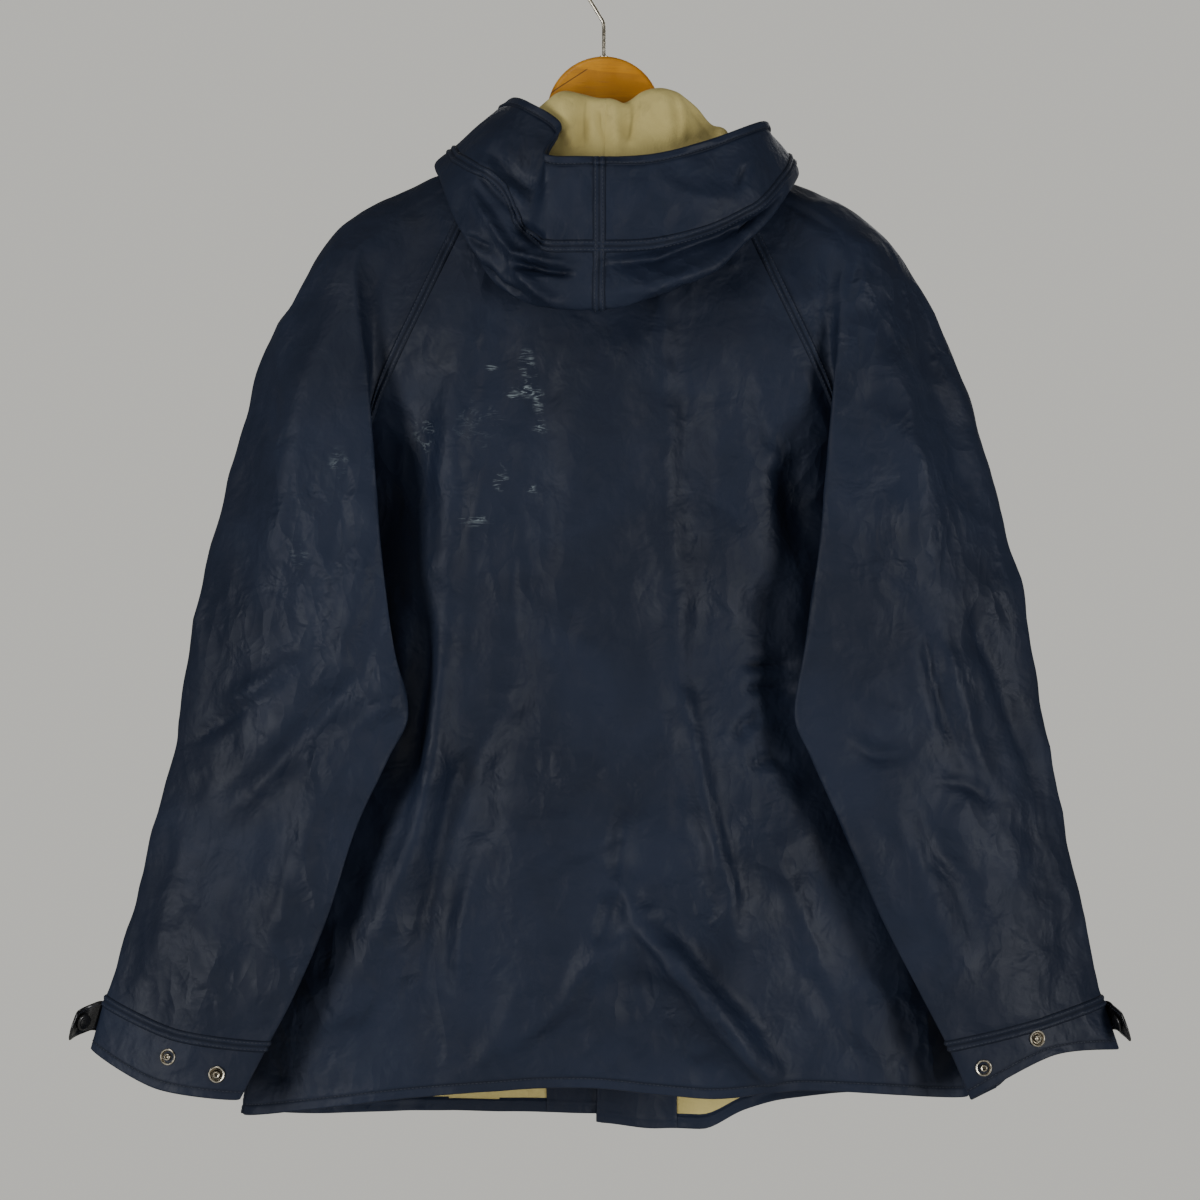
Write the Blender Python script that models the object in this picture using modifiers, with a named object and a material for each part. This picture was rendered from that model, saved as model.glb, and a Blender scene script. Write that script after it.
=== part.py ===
"""A hooded PVC rain jacket hanging on a wooden hanger, its back towards -Y.

Metres, +Z up, +X to the right of somebody looking at the jacket's back. The origin is the inner top of the
hanger's hook, where a rail carries it. All tables below are in millimetres.
"""

import math

import bmesh
import bpy
import numpy as np
from mathutils import Vector

MM = 0.001

# Cloth and seams
CLOTH = 1.5  # coated cloth with its woven backing
SEAM_GAP = 0.3
ARMPIT_EASE = 0.8
ARMPIT_OUT = (0.3, -0.3, 0.9)
OVERLAP_STEP = 5.0  # how far the covered front lies inside the covering one
FACING_GAP = 0.4
BRIM_WIDTH = 73.0
CUFF_WALL = 2.2
FACING_WALL = 1.0

# Closure
LEFT_FRONT_EDGE = 20.0  # free edge of the covering front, x
RIGHT_FRONT_EDGE = -6.0  # free edge of the covered front, x
CENTRE_FRONT = 7.0
FACING_WIDTH = 70.0
SNAP_HEIGHTS = (-290.0, -420.0, -550.0, -680.0, -810.0)
SNAP_RADIUS = 7.2
STUD_PLACES = {"left": ((-367, -936), (-322, -949)), "right": ((362, -921), (317, -944))}  # (x, z)
TAB_WALL = 1.8
TAB_GAP = 0.8
# Steps of a strap's free end, as (outwards, towards -Y)
TAB_REACH = {"left": ((8, 3), (14, 9), (17, 19)), "right": ((3, 7), (6, 16), (8, 26))}
TAB_DROP = 2.5
TAB_SPAN = (0.06, 0.35, 0.64)  # shares of the cuff's height
TAB_SOCKET_GAP = 1.0
TAB_CAP_GAP = 2.2  # the strap curves under the cap's flat base

# Raglan seams from the neckline to the armpit, as distances from the middle of the body
RAGLAN_COLUMNS = ("s", "back_x", "back_y", "back_z", "front_x", "front_y", "front_z")
RAGLAN = (
    (0.00, 97, -27, -181, 84, 27, -186),
    (0.20, 118, -42, -225, 107, 40, -230),
    (0.40, 140, -52, -272, 128, 48, -275),
    (0.55, 157, -56, -308, 146, 52, -312),
    (0.70, 175, -54, -345, 166, 49, -352),
    (0.85, 197, -38, -392, 192, 34, -402),
    (1.00, 222, 0, -468, 222, 0, -468),
)

# Sleeve sections from the neckline (s 0) past the armpit (s 1) to the cuff seam (s 3) and the cuff's end (s 3.4).
# out is the outer fold line, in is the fold line nearest the middle of the back, l and r the two sleeves.
# back and front are the bulges of the two faces, dip pushes the valley beside the back seam in, and sag moves the
# middle of both faces up or down.
SLEEVE_COLUMNS = ("s", "out_xl", "out_xr", "out_y", "out_z", "in_xl", "in_xr", "in_y", "in_z",
                  "back", "front", "dip", "sag_l", "sag_r")
SLEEVE = (
    (0.00, 88, 88, 0, -171, 94, 94, -15, -175, 1, 2, 0, 0, 0),
    (0.20, 148, 151, 2, -192, 136, 137, -24, -205, 4, 12, 0, 0, 0),
    (0.40, 204, 212, 2, -219, 184, 188, -36, -238, 9, 21, 3, 0, 0),
    (0.55, 236, 245, 0, -250, 211, 210, -50, -264, 11, 27, 8, 0, 0),
    (0.70, 264, 274, -4, -291, 207, 202, -62, -312, 12, 29, 8, 0, 0),
    (0.85, 289, 297, -8, -337, 199, 193, -69, -362, 16, 29, 3, 0, 0),
    (1.00, 305, 316, -11, -392, 193, 188, -74, -422, 20, 28, 0, 0, 0),
    (1.15, 319, 330, -12, -440, 189, 183, -77, -475, 22, 22, 0, 0, 0),
    (1.30, 332, 343, -12, -490, 184, 177, -78, -525, 24, 17, 0, 0, 0),
    (1.50, 347, 359, -12, -560, 175, 167, -79, -592, 25, 14, 0, 0, 0),
    (1.70, 360, 370, -14, -622, 163, 158, -80, -648, 26, 12, 0, 0, 0),
    (1.85, 366, 378, -14, -672, 179, 172, -79, -684, 25, 12, 0, 0, 0),
    (2.10, 384, 393, -14, -740, 206, 198, -77, -742, 23, 13, 0, 0, 0),
    (2.40, 400, 407, -16, -806, 230, 230, -74, -816, 21, 14, 0, 0, 0),
    (2.70, 414, 418, -18, -858, 256, 262, -71, -878, 18, 13, 0, -2, 0),
    (3.00, 426, 426, -20, -894, 281, 287, -69, -926, 16, 13, 0, -8, 0),
    (3.40, 438, 439, -20, -935, 304, 306, -69, -970, 15, 13, 0, -10, 18),
)

# Body sections: half widths at the side seams, and how far back and front stand off the hanger's plane
BODY_COLUMNS = ("z", "left", "right", "back_y", "front_y")
BODY = (
    (-197, 97, 97, -45, 50),
    (-232, 118, 118, -55, 55),
    (-300, 155, 155, -64, 60),
    (-380, 190, 190, -69, 63),
    (-468, 222, 222, -71, 63),
    (-500, 225, 225, -71, 63),
    (-560, 236, 236, -70, 62),
    (-650, 252, 253, -68, 61),
    (-750, 270, 272, -65, 59),
    (-850, 286, 289, -62, 56),
    (-920, 300, 303, -59, 54),
    (-985, 311, 314, -57, 52),
)

# Lower edges, seen from behind
BACK_HEM_COLUMNS = ("x", "z")
BACK_HEM = (
    (-311, -994), (-244, -983), (-165, -972), (-61, -963), (-18, -962), (44, -968), (96, -972), (168, -966),
    (314, -978),
)
FRONT_HEM_COLUMNS = ("x", "left_z", "right_z")
FRONT_HEM = (
    (-311, -994, -1010),
    (-240, -1000, -1010),
    (-120, -1000, -1010),
    (-10, -1003, -1010),
    (50, -1004, -1016),
    (85, -1004, -1016),
    (125, -1000, -999),
    (200, -990, -984),
    (314, -980, -978),
)

# Main folds of the back, as soft ridges (height > 0) or troughs from one end to the other
FOLD_COLUMNS = ("x0", "z0", "x1", "z1", "width", "height")
BACK_FOLDS = (
    (-120, -330, -150, -700, 26, 7),
    (-150, -700, -215, -900, 26, 8),
    (-64, -330, -70, -640, 24, -5),
    (-88, -640, -150, -880, 28, -9),
    (48, -300, 62, -640, 16, 4),
    (70, -640, 112, -840, 18, 5),
    (14, -800, 56, -868, 20, 8),
    (56, -868, 140, -966, 20, 10),
    (20, -890, 84, -962, 26, -6),
    (-30, -870, -60, -966, 30, -5),
    (134, -560, 176, -700, 34, -8),
    (-185, -480, -195, -640, 24, -8),
)
FRONT_FOLDS = (
    (-150, -330, -170, -960, 34, 7),
    (-90, -420, -96, -990, 30, -6),
    (120, -360, 150, -970, 34, 6),
    (80, -480, 84, -1000, 26, -5),
    (-215, -520, -240, -900, 26, -5),
    (205, -520, 235, -900, 26, -6),
)

# The dropped hood: for each section round the neck, where the cloth folds over (crest), the bottom of the pouch,
# the middle of the layer that rises again, and the opening's edge
HOOD_COLUMNS = ("k", "neck", "crest_x", "crest_y", "crest_z", "low_x", "low_y", "low_z",
                "mid_x", "mid_y", "mid_z", "edge_x", "edge_y", "edge_z")
HOOD = (
    (0.0, 0.0, 7, 58, -225, 7, 61, -207, 7, 63, -190, 7, 64, -172),
    (1.0, 0.9, -58, 50, -200, -74, 60, -190, -72, 62, -170, -60, 58, -148),
    (2.0, 2.0, -90, 32, -168, -118, 46, -184, -110, 46, -158, -88, 36, -132),
    (3.0, 3.0, -92, -2, -159, -144, -6, -182, -114, -10, -155, -82, -12, -127),
    (4.0, 4.0, -88, -34, -160, -134, -54, -212, -105, -66, -178, -64, -60, -136),
    (4.6, 4.5, -76, -42, -154, -116, -80, -250, -76, -90, -212, -36, -82, -160),
    (5.0, 4.9, -64, -46, -146, -94, -88, -284, -64, -97, -236, -46, -94, -176),
    (5.4, 5.3, -52, -48, -136, -70, -95, -302, -53, -106, -246, -49, -107, -186),
    (6.0, 6.0, -32, -51, -124, -42, -101, -311, -36, -111, -252, -33, -112, -190),
    (7.0, 7.0, 2, -52, -127, -4, -104, -314, -4, -113, -254, -4, -113, -190),
    (8.0, 8.0, 40, -51, -121, 40, -102, -305, 40, -112, -246, 38, -110, -188),
    (9.0, 9.0, 73, -46, -131, 84, -93, -283, 86, -103, -230, 82, -100, -176),
    (10.0, 10.0, 100, -34, -150, 130, -72, -242, 134, -76, -200, 131, -62, -153),
    (11.0, 11.0, 98, -2, -166, 165, -16, -190, 156, -20, -170, 138, -14, -150),
    (12.0, 12.0, 92, 32, -172, 126, 46, -186, 122, 46, -166, 106, 40, -148),
    (13.0, 13.1, 58, 46, -204, 78, 56, -194, 76, 58, -176, 66, 56, -156),
    (14.0, 14.0, 7, 52, -225, 7, 54, -207, 7, 56, -190, 7, 57, -172),
)

# Landmarks of the body
NECK_BACK_Z = -197.0
NECK_FRONT_Z = -243.0
ARMPIT_Z = -468.0
HEM_Z = -985.0

# Sampling
OPEN_STEPS = (0, 0.12, 0.25, 0.37, 0.48, 0.58, 0.68, 0.78, 0.87, 0.94, 1.0)
TUBE_STEPS = (1.07, 1.15, 1.3, 1.5, 1.65, 1.75, 1.9, 2.1, 2.35, 2.6, 2.8, 3.0)
CUFF_STEPS = (3.0, 3.13, 3.26, 3.4)
SLEEVE_PARTS = (2, 3, 4, 4, 4, 4)
OUTER_COLUMN = sum(SLEEVE_PARTS[:4])
BODY_STEPS = 13
BODY_ROWS = OPEN_STEPS + tuple(1 + (i + 1) / BODY_STEPS for i in range(BODY_STEPS))
BACK_COLUMNS = 20
FRONT_COLUMNS = 7
FACING_COLUMNS = 3
HOOD_LEFT_STEPS = (
    0, 0.6, 1.2, 1.8, 2.4, 2.9, 3.4, 3.8, 4.1, 4.35, 4.6, 4.8, 5.0, 5.2, 5.4, 5.7, 6.0, 6.5, 7.0,
)
HOOD_RIGHT_STEPS = (7.0, 7.5, 8.0, 8.5, 9.0, 9.5, 10.0, 10.4, 10.8, 11.2, 11.6, 12.0, 12.6, 13.2, 14.0)
HOOD_PARTS = (2, 1, 1, 4, 1, 1, 2, 3)  # neck, crest (2), fall, pouch (2), rise to the brim seam, brim
CROWN_ROWS = sum(HOOD_PARTS[:-1])
HOOD_FOLD_RADIUS = 6.0
HOOD_STAND_SHARE = 0.28  # the fold's radius where the hood stands less high

# Snap fittings, from the middle of the face down to the base, as (radius, height)
STUD_PROFILE = (
    (0, 2.6), (1.6, 2.5), (2.1, 1.7), (2.0, 1.0), (3.6, 0.9), (6.4, 1.1), (7.2, 0.6), (7.2, 0), (0, 0),
)
SOCKET_PROFILE = ((0, 0.5), (1.9, 0.5), (2.2, 1.8), (3.4, 2.0), (5.2, 1.4), (5.8, 0.5), (5.8, 0), (0, 0))
CAP_PROFILE = ((0, 2.0), (3.0, 1.9), (5.6, 1.4), (7.0, 0.6), (7.2, 0), (0, 0))

# Hanger
HANGER_THICK = 14.0
DOME_RADIUS = 49.0
DOME_CENTRE_Z = -135.0
ARM_TOP = ((57, -160), (88, -178), (148, -202), (200, -228), (210, -236))
ARM_BOTTOM = ((205, -254), (148, -234), (80, -207), (0, -192))
HOOK_WIRE = 1.6
HOOK_RADIUS = 20.0
HOOK_BEND_Z = -56.0

COLOURS = {
    "navy": ((0.022, 0.028, 0.045, 1), 0.45, 0.0),
    "black": ((0.012, 0.012, 0.014, 1), 0.25, 0.0),
    "steel": ((0.75, 0.72, 0.66, 1), 0.25, 1.0),
    "wood": ((0.55, 0.30, 0.11, 1), 0.45, 0.0),
}

jacket = None


def smooth(a, b, x):
    """0 below a, 1 above b, and a soft step between them."""
    t = np.clip((x - a) / (b - a), 0.0, 1.0)
    return t * t * (3 - 2 * t)


def follow(table, columns, name, key):
    """The named column's value at a key of the first column, on a smooth curve through the table's rows."""
    rows = np.array(table, float)
    if rows[0, 0] > rows[-1, 0]:
        rows = rows[::-1]
    keys, values = rows[:, 0], rows[:, columns.index(name)]
    slopes = np.diff(values) / np.diff(keys)
    ends = np.concatenate([slopes[:1], (slopes[:-1] + slopes[1:]) / 2, slopes[-1:]])
    turns = np.concatenate([[False], slopes[:-1] * slopes[1:] <= 0, [False]])
    ends[turns] = 0
    i = int(np.clip(np.searchsorted(keys, key) - 1, 0, len(keys) - 2))
    h = keys[i + 1] - keys[i]
    t = (np.clip(key, keys[0], keys[-1]) - keys[i]) / h
    return float(
        values[i] * (1 + 2 * t) * (1 - t) ** 2
        + values[i + 1] * t * t * (3 - 2 * t)
        + ends[i] * h * t * (1 - t) ** 2
        - ends[i + 1] * h * t * t * (1 - t)
    )


def between(a, b, share):
    return a * (1 - share) + b * share


def through(points, steps):
    """Points on a smooth curve through the given points, with a number of steps for each span."""
    pts = [np.array(p, float) for p in points]
    pts = [2 * pts[0] - pts[1]] + pts + [2 * pts[-1] - pts[-2]]
    knots = [0.0]
    for a, b in zip(pts, pts[1:]):
        knots.append(knots[-1] + max(np.linalg.norm(b - a), 1e-6) ** 0.5)
    curve = []
    for i, count in enumerate(steps):
        k = knots[i:i + 4]
        for t in np.linspace(k[1], k[2], count + 1)[(1 if i else 0):]:
            blend = pts[i:i + 4]
            for reach in (1, 2):
                blend = [between(a, b, (t - k[j]) / (k[j + reach] - k[j]))
                         for j, (a, b) in enumerate(zip(blend, blend[1:]))]
            curve.append(between(*blend, (t - k[1]) / (k[2] - k[1])))
    return np.array(curve)


def by_length(curve, fractions):
    """Points of a polyline at fractions of its length."""
    run = np.concatenate([[0], np.cumsum(np.linalg.norm(np.diff(curve, axis=0), axis=1))])
    return np.array([[np.interp(f * run[-1], run, curve[:, j]) for j in range(3)] for f in fractions])


def folds_at(folds, x, z):
    """How far the folds in a table lift the cloth at (x, z)."""
    lift = 0.0
    for x0, z0, x1, z1, width, height in folds:
        along = np.array([x1 - x0, z1 - z0])
        t = ((x - x0) * along[0] + (z - z0) * along[1]) / (along @ along)
        near = np.clip(t, 0, 1)
        far = np.hypot(x - x0 - near * along[0], z - z0 - near * along[1])
        lift += height * math.exp(-((far / width) ** 2) * 2)
    return lift


def raglan(side, face, s):
    """A point of the raglan seam of side -1 or 1, on the face 'back' or 'front'."""
    x, y, z = (follow(RAGLAN, RAGLAN_COLUMNS, f"{face}_{axis}", min(s, 1.0)) for axis in "xyz")
    return np.array([side * x, y, z])


def sleeve_section(side, s):
    """Points round the sleeve at s, from its back seam over the outer fold to its front seam."""
    letter = "l" if side < 0 else "r"
    value = {name: follow(SLEEVE, SLEEVE_COLUMNS, name, s) for name in SLEEVE_COLUMNS[1:]}
    outer = np.array([side * value[f"out_x{letter}"], value["out_y"], value["out_z"]])
    inner = np.array([side * value[f"in_x{letter}"], value["in_y"], value["in_z"]])
    if s <= 1:
        start, end = raglan(side, "back", s), raglan(side, "front", s)
    else:
        share = min((s - 1) / 0.3, 1.0)
        under = inner + np.array([side * 24, 24, 6])
        start = raglan(side, "back", 1.0) * (1 - share ** 0.7) + under * share ** 0.7
        start = start - np.array([0, 0, 24 * math.sin(math.pi * share)])
        end = start
    across = outer - inner
    out_of_back = np.array([across[1] * side, -abs(across[0]), 0.0])
    out_of_back /= np.linalg.norm(out_of_back)
    dip = (start + inner) / 2 + np.array([0, value["dip"], 0])
    sag = np.array([0, 0, value[f"sag_{letter}"]])
    back = (inner + outer) / 2 + out_of_back * value["back"] + sag
    front = (outer + end) / 2 - out_of_back * value["front"] + sag
    section = through((start, dip, inner, back, outer, front, end), SLEEVE_PARTS)
    section[0], section[-1] = start, end
    return section


def share_at(across):
    """How far out a column lies: columns stand a little closer towards the side seams."""
    return 0.55 * across + 0.45 * math.sin(across * math.pi / 2)


def across_at(share):
    places = np.linspace(0, 1, 201)
    return float(np.interp(share, [share_at(place) for place in places], places))


def body_point(side_point, centre, across, spread, roundness):
    """A point of a body section, at a share across (-1 to 1) from the middle to the side point."""
    share = share_at(abs(across))
    bulge = max(1 - share ** spread, 0.0) ** (1 / roundness)
    return np.array([
        centre[0] + (side_point[0] - centre[0]) * share,
        side_point[1] + (centre[1] - side_point[1]) * bulge,
        centre[2] + (side_point[2] - centre[2]) * share * share,
    ])


def body_row(face, s):
    """(left side point, right side point, middle, spread, roundness) of the body at s, 0 to 1 down to the armpit
    and 1 to 2 on to the hem."""
    if s <= 1:
        left, right = raglan(-1, face, s), raglan(1, face, s)
        top = NECK_BACK_Z if face == "back" else NECK_FRONT_Z
        z = min(top, left[2]) if face == "back" else top + (ARMPIT_Z - top) * s ** 1.15
        spread, roundness = 2 + 0.3 * smooth(0, 0.4, s), 1.0
    else:
        z = ARMPIT_Z + (HEM_Z - ARMPIT_Z) * (s - 1)
        left = np.array([-follow(BODY, BODY_COLUMNS, "left", z), 0, z])
        right = np.array([follow(BODY, BODY_COLUMNS, "right", z), 0, z])
        spread, roundness = 2.3 + 0.3 * (s - 1), 1 + 0.9 * smooth(1.1, 2.0, s)
    y = follow(BODY, BODY_COLUMNS, f"{face}_y", z)
    return left, right, np.array([0, y, z]), spread, roundness


def to_hem(s, target, z):
    """Moves the lower rows of the body gradually onto the hem's own line."""
    return z + (target - HEM_Z) * max(s - 1, 0) ** 3


def back_grid():
    """Outer points of the back panel, row by row from the neckline to the hem."""
    hem_sides = [point[0] for point in body_row("back", 2)[:2]]
    grid = []
    for s in BODY_ROWS:
        left, right, centre, spread, roundness = body_row("back", s)
        row = []
        for across in np.linspace(-1, 1, BACK_COLUMNS + 1):
            point = body_point(left if across < 0 else right, centre, across, spread, roundness)
            point[1] -= folds_at(BACK_FOLDS, point[0], point[2]) * (1 - abs(across) ** 6)
            hem_x = share_at(abs(across)) * hem_sides[0 if across < 0 else 1]
            point[2] = to_hem(s, follow(BACK_HEM, BACK_HEM_COLUMNS, "z", hem_x), point[2])
            row.append(point)
        grid.append(row)
    return np.array(grid)


def front_point(side, s, across):
    """A point of a front, across 1 at its side seam, 0 at the centre front and below 0 past it."""
    left, right, centre, spread, roundness = body_row("front", s)
    middle = np.array([CENTRE_FRONT, centre[1], centre[2]])
    side_point = left if side < 0 else right
    point = body_point(side_point, middle, across, spread, roundness)
    if across < 0:
        point[0] = 2 * CENTRE_FRONT - point[0]
    point[1] += folds_at(FRONT_FOLDS, point[0], point[2]) * (1 - abs(across) ** 6)
    if side > 0:
        point[1] -= OVERLAP_STEP * (1 - smooth(26, 70, point[0]))
    hem_side = body_row("front", 2)[0 if side < 0 else 1][0]
    widening = (hem_side - CENTRE_FRONT) / (side_point[0] - CENTRE_FRONT)
    hem_x = CENTRE_FRONT + (point[0] - CENTRE_FRONT) * widening
    name = "left_z" if side < 0 else "right_z"
    point[2] = to_hem(s, follow(FRONT_HEM, FRONT_HEM_COLUMNS, name, hem_x), point[2])
    return point


def front_grid(side):
    """Outer points of one front, from its side seam to its free edge. The last columns carry the facing."""
    grid = []
    edge = LEFT_FRONT_EDGE if side < 0 else RIGHT_FRONT_EDGE
    for s in BODY_ROWS:
        left, right = body_row("front", s)[:2]
        half = abs((left if side < 0 else right)[0] - CENTRE_FRONT)
        to_edge = across_at(abs(edge - CENTRE_FRONT) / half)
        to_facing = across_at(abs(edge + side * FACING_WIDTH - CENTRE_FRONT) / half)
        places = list(np.linspace(1, to_facing, FRONT_COLUMNS + 1))
        places += list(np.linspace(to_facing, -to_edge, FACING_COLUMNS + 1))[1:]
        grid.append([front_point(side, s, across) for across in places])
    return np.array(grid)


def sleeve_grid(side):
    return np.array([sleeve_section(side, s) for s in OPEN_STEPS + TUBE_STEPS])


def cuff_grid(side):
    return np.array([sleeve_section(side, s) for s in CUFF_STEPS])


def neckline(k):
    """A point of the neckline at k, from 0 at the left of the centre front round the back to 14."""
    side = -1 if k < 7 else 1
    m = k if k < 7 else 14 - k
    if m < 2:
        return front_point(side, 0, m / 2)
    if m <= 4:
        return by_length(sleeve_section(side, 0), [1 - (m - 2) / 2])[0]
    left, right, centre, spread, roundness = body_row("back", 0)
    return body_point(left if side < 0 else right, centre, (7 - m) / 3, spread, roundness)


def rounded_turn(before, turn, after, radius):
    """Three points that lead round a fold instead of a sharp corner."""
    way_in, way_out = (v / np.linalg.norm(v) for v in (turn - before, after - turn))
    sideways = (way_in + way_out) / max(np.linalg.norm(way_in + way_out), 0.05)
    spread = radius * (1 - way_in @ way_out) / 2
    return [turn - way_in * radius - sideways * spread, turn, turn + way_out * radius + sideways * spread]


def neck_clearance(k):
    """How far the hood's lower edge stands above the neckline, more where the shoulders arch up."""
    m = min(k, 14 - k)
    return 0.6 + 1.5 * math.sin(math.pi * np.clip(m - 2, 0, 2) / 2) ** 2 + 1.0 * (1 - smooth(0, 1.5, m))


def hood_line(k):
    """One section of the hood: its points from the neckline over crest and pouch to the opening's edge."""
    value = {name: follow(HOOD, HOOD_COLUMNS, name, k) for name in HOOD_COLUMNS[1:]}
    neck = neckline(value["neck"]) + np.array([0, 0, neck_clearance(k)])
    crest, low, mid, edge = (
        np.array([value[f"{name}_{axis}"] for axis in "xyz"]) for name in ("crest", "low", "mid", "edge")
    )
    radius = min(HOOD_FOLD_RADIUS, HOOD_STAND_SHARE * np.linalg.norm(crest - neck))
    over, under = rounded_turn(neck, crest, low, radius), rounded_turn(crest, low, mid, radius)
    stops = [neck] + over + under + [mid, edge]
    fine = 8
    curve = through(stops, [fine] * (len(stops) - 1))
    run = np.concatenate([[0], np.cumsum(np.linalg.norm(np.diff(curve, axis=0), axis=1))])
    at = [run[i * fine] for i in range(len(stops))]
    seam = run[-1] - min(BRIM_WIDTH, 0.8 * (run[-1] - at[6]))
    places = []
    for start, end, parts in zip(at[:6] + [at[6], seam], at[1:7] + [seam, run[-1]], HOOD_PARTS):
        places += list(np.linspace(start, end, parts + 1))[:-1]
    return by_length(curve, np.array(places + [run[-1]]) / run[-1])


def hood_grid(steps):
    """Outer points of half the hood: a row for each section, and columns from neckline to edge."""
    return np.array([hood_line(k) for k in steps])


def faces_of(grid):
    """Quads of a grid as index pairs."""
    rows, columns = grid.shape[:2]
    cells = [(r, c) for r in range(rows - 1) for c in range(columns - 1)]
    return [((r, c), (r + 1, c), (r + 1, c + 1), (r, c + 1)) for r, c in cells]


def key_of(point):
    return tuple(np.round(point, 4) + 0.0)


def gather_normals(grid, flip, store, skip=()):
    """Adds a panel's own unit normals to those of its neighbours, point by point."""
    own = {}
    for quad in faces_of(grid):
        a, b, c, d = (grid[i] for i in quad)
        area = np.cross(c - a, d - b) * (-1 if flip else 1)
        for corner in quad:
            if corner not in skip:
                key = key_of(grid[corner])
                own[key] = own.get(key, 0) + area
    for key, normal in own.items():
        store.setdefault(key, []).append(normal / np.linalg.norm(normal))


def normals_of(grid, store):
    """Each point's way out of the cloth, lengthened where panels meet at an angle so that walls stay thick."""
    found = np.zeros_like(grid)
    for r, c in np.ndindex(grid.shape[:2]):
        shares = store[key_of(grid[r, c])]
        n = sum(shares) / np.linalg.norm(sum(shares))
        found[r, c] = n / max(min(n @ share for share in shares), 0.62)
    return found


def drawn_back(grid, top=True, bottom=False, first=True, last=True, distance=SEAM_GAP / 2):
    """The grid with the named edges moved in from their seams."""
    moved = grid.copy()
    for wanted, edge, inside in (
        (top, (0, slice(None)), (1, slice(None))), (bottom, (-1, slice(None)), (-2, slice(None))),
        (first, (slice(None), 0), (slice(None), 1)), (last, (slice(None), -1), (slice(None), -2)),
    ):
        if not wanted:
            continue
        line, inner = grid[edge], grid[inside]
        along = np.gradient(line, axis=0)
        along /= np.maximum(np.linalg.norm(along, axis=1, keepdims=True), 1e-9)
        inward = inner - line
        inward -= (inward * along).sum(1, keepdims=True) * along
        inward /= np.maximum(np.linalg.norm(inward, axis=1, keepdims=True), 1e-9)
        moved[edge] += inward * distance
    return moved


def material_of(name):
    found = bpy.data.materials.get(name)
    if found:
        return found
    colour, roughness, metallic = COLOURS[name]
    found = bpy.data.materials.new(name)
    found.use_nodes = True
    shader = found.node_tree.nodes["Principled BSDF"]
    shader.inputs["Base Color"].default_value = colour
    shader.inputs["Roughness"].default_value = roughness
    shader.inputs["Metallic"].default_value = metallic
    return found


def keep(obj, material):
    """Puts an object in the jacket's collection with its material."""
    for collection in list(obj.users_collection):
        collection.objects.unlink(obj)
    jacket.objects.link(obj)
    obj.data.materials.clear()
    obj.data.materials.append(material_of(material))
    return obj


def triangles_of(grid):
    """Each quad of a grid as two triangles, cut along its shorter diagonal."""
    found = []
    for a, b, c, d in faces_of(grid):
        if np.linalg.norm(grid[a] - grid[c]) <= np.linalg.norm(grid[b] - grid[d]):
            found += [(a, b, c), (a, c, d)]
        else:
            found += [(a, b, d), (b, c, d)]
    return found


def wall(name, grid, normals, flip, thickness=CLOTH, material="navy"):
    """A cloth wall: the grid is its outer face, and the inner face lies a thickness in along the normals."""
    mesh = bpy.data.meshes.new(name)
    build = bmesh.new()
    known = {}
    for corner in np.ndindex(grid.shape[:2]):
        key = key_of(grid[corner])
        if key not in known:
            outer = build.verts.new(Vector(grid[corner] * MM))
            known[key] = outer, build.verts.new(Vector((grid[corner] - normals[corner] * thickness) * MM))
    partner = dict(known.values())
    skin = []
    for triangle in triangles_of(grid):
        corners = [known[key_of(grid[corner])][0] for corner in triangle]
        if len(set(corners)) == 3:
            corners = corners[::-1] if flip else corners
            skin.append(build.faces.new(corners))
            build.faces.new([partner[v] for v in reversed(corners)])
    for face in skin:
        for loop in face.loops:
            if len(loop.edge.link_faces) == 1:
                a, b = loop.vert, loop.link_loop_next.vert
                if (a.co - partner[b].co).length < (b.co - partner[a].co).length:
                    rims = (b, a, partner[b]), (a, partner[a], partner[b])
                else:
                    rims = (b, a, partner[a]), (b, partner[a], partner[b])
                for rim in rims:
                    build.faces.new(rim)
    build.to_mesh(mesh)
    build.free()
    mesh.shade_smooth()
    return keep(bpy.data.objects.new(name, mesh), material)


def lathe(name, profile, place, facing, material, steps=12):
    """A turned piece with its axis along facing. The profile runs down its outer side as (radius, height)."""
    mesh = bpy.data.meshes.new(name)
    edges = [(i, i + 1) for i in range(len(profile) - 1)]
    mesh.from_pydata([(r * MM, 0, h * MM) for r, h in profile], edges, [])
    obj = keep(bpy.data.objects.new(name, mesh), material)
    screw = obj.modifiers.new("Turn", "SCREW")
    screw.steps = screw.render_steps = steps
    screw.use_merge_vertices = True
    screw.merge_threshold = 0.00001
    obj.location = Vector(place) * MM
    obj.rotation_euler = Vector(facing).to_track_quat("Z", "Y").to_euler()
    return obj


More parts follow.
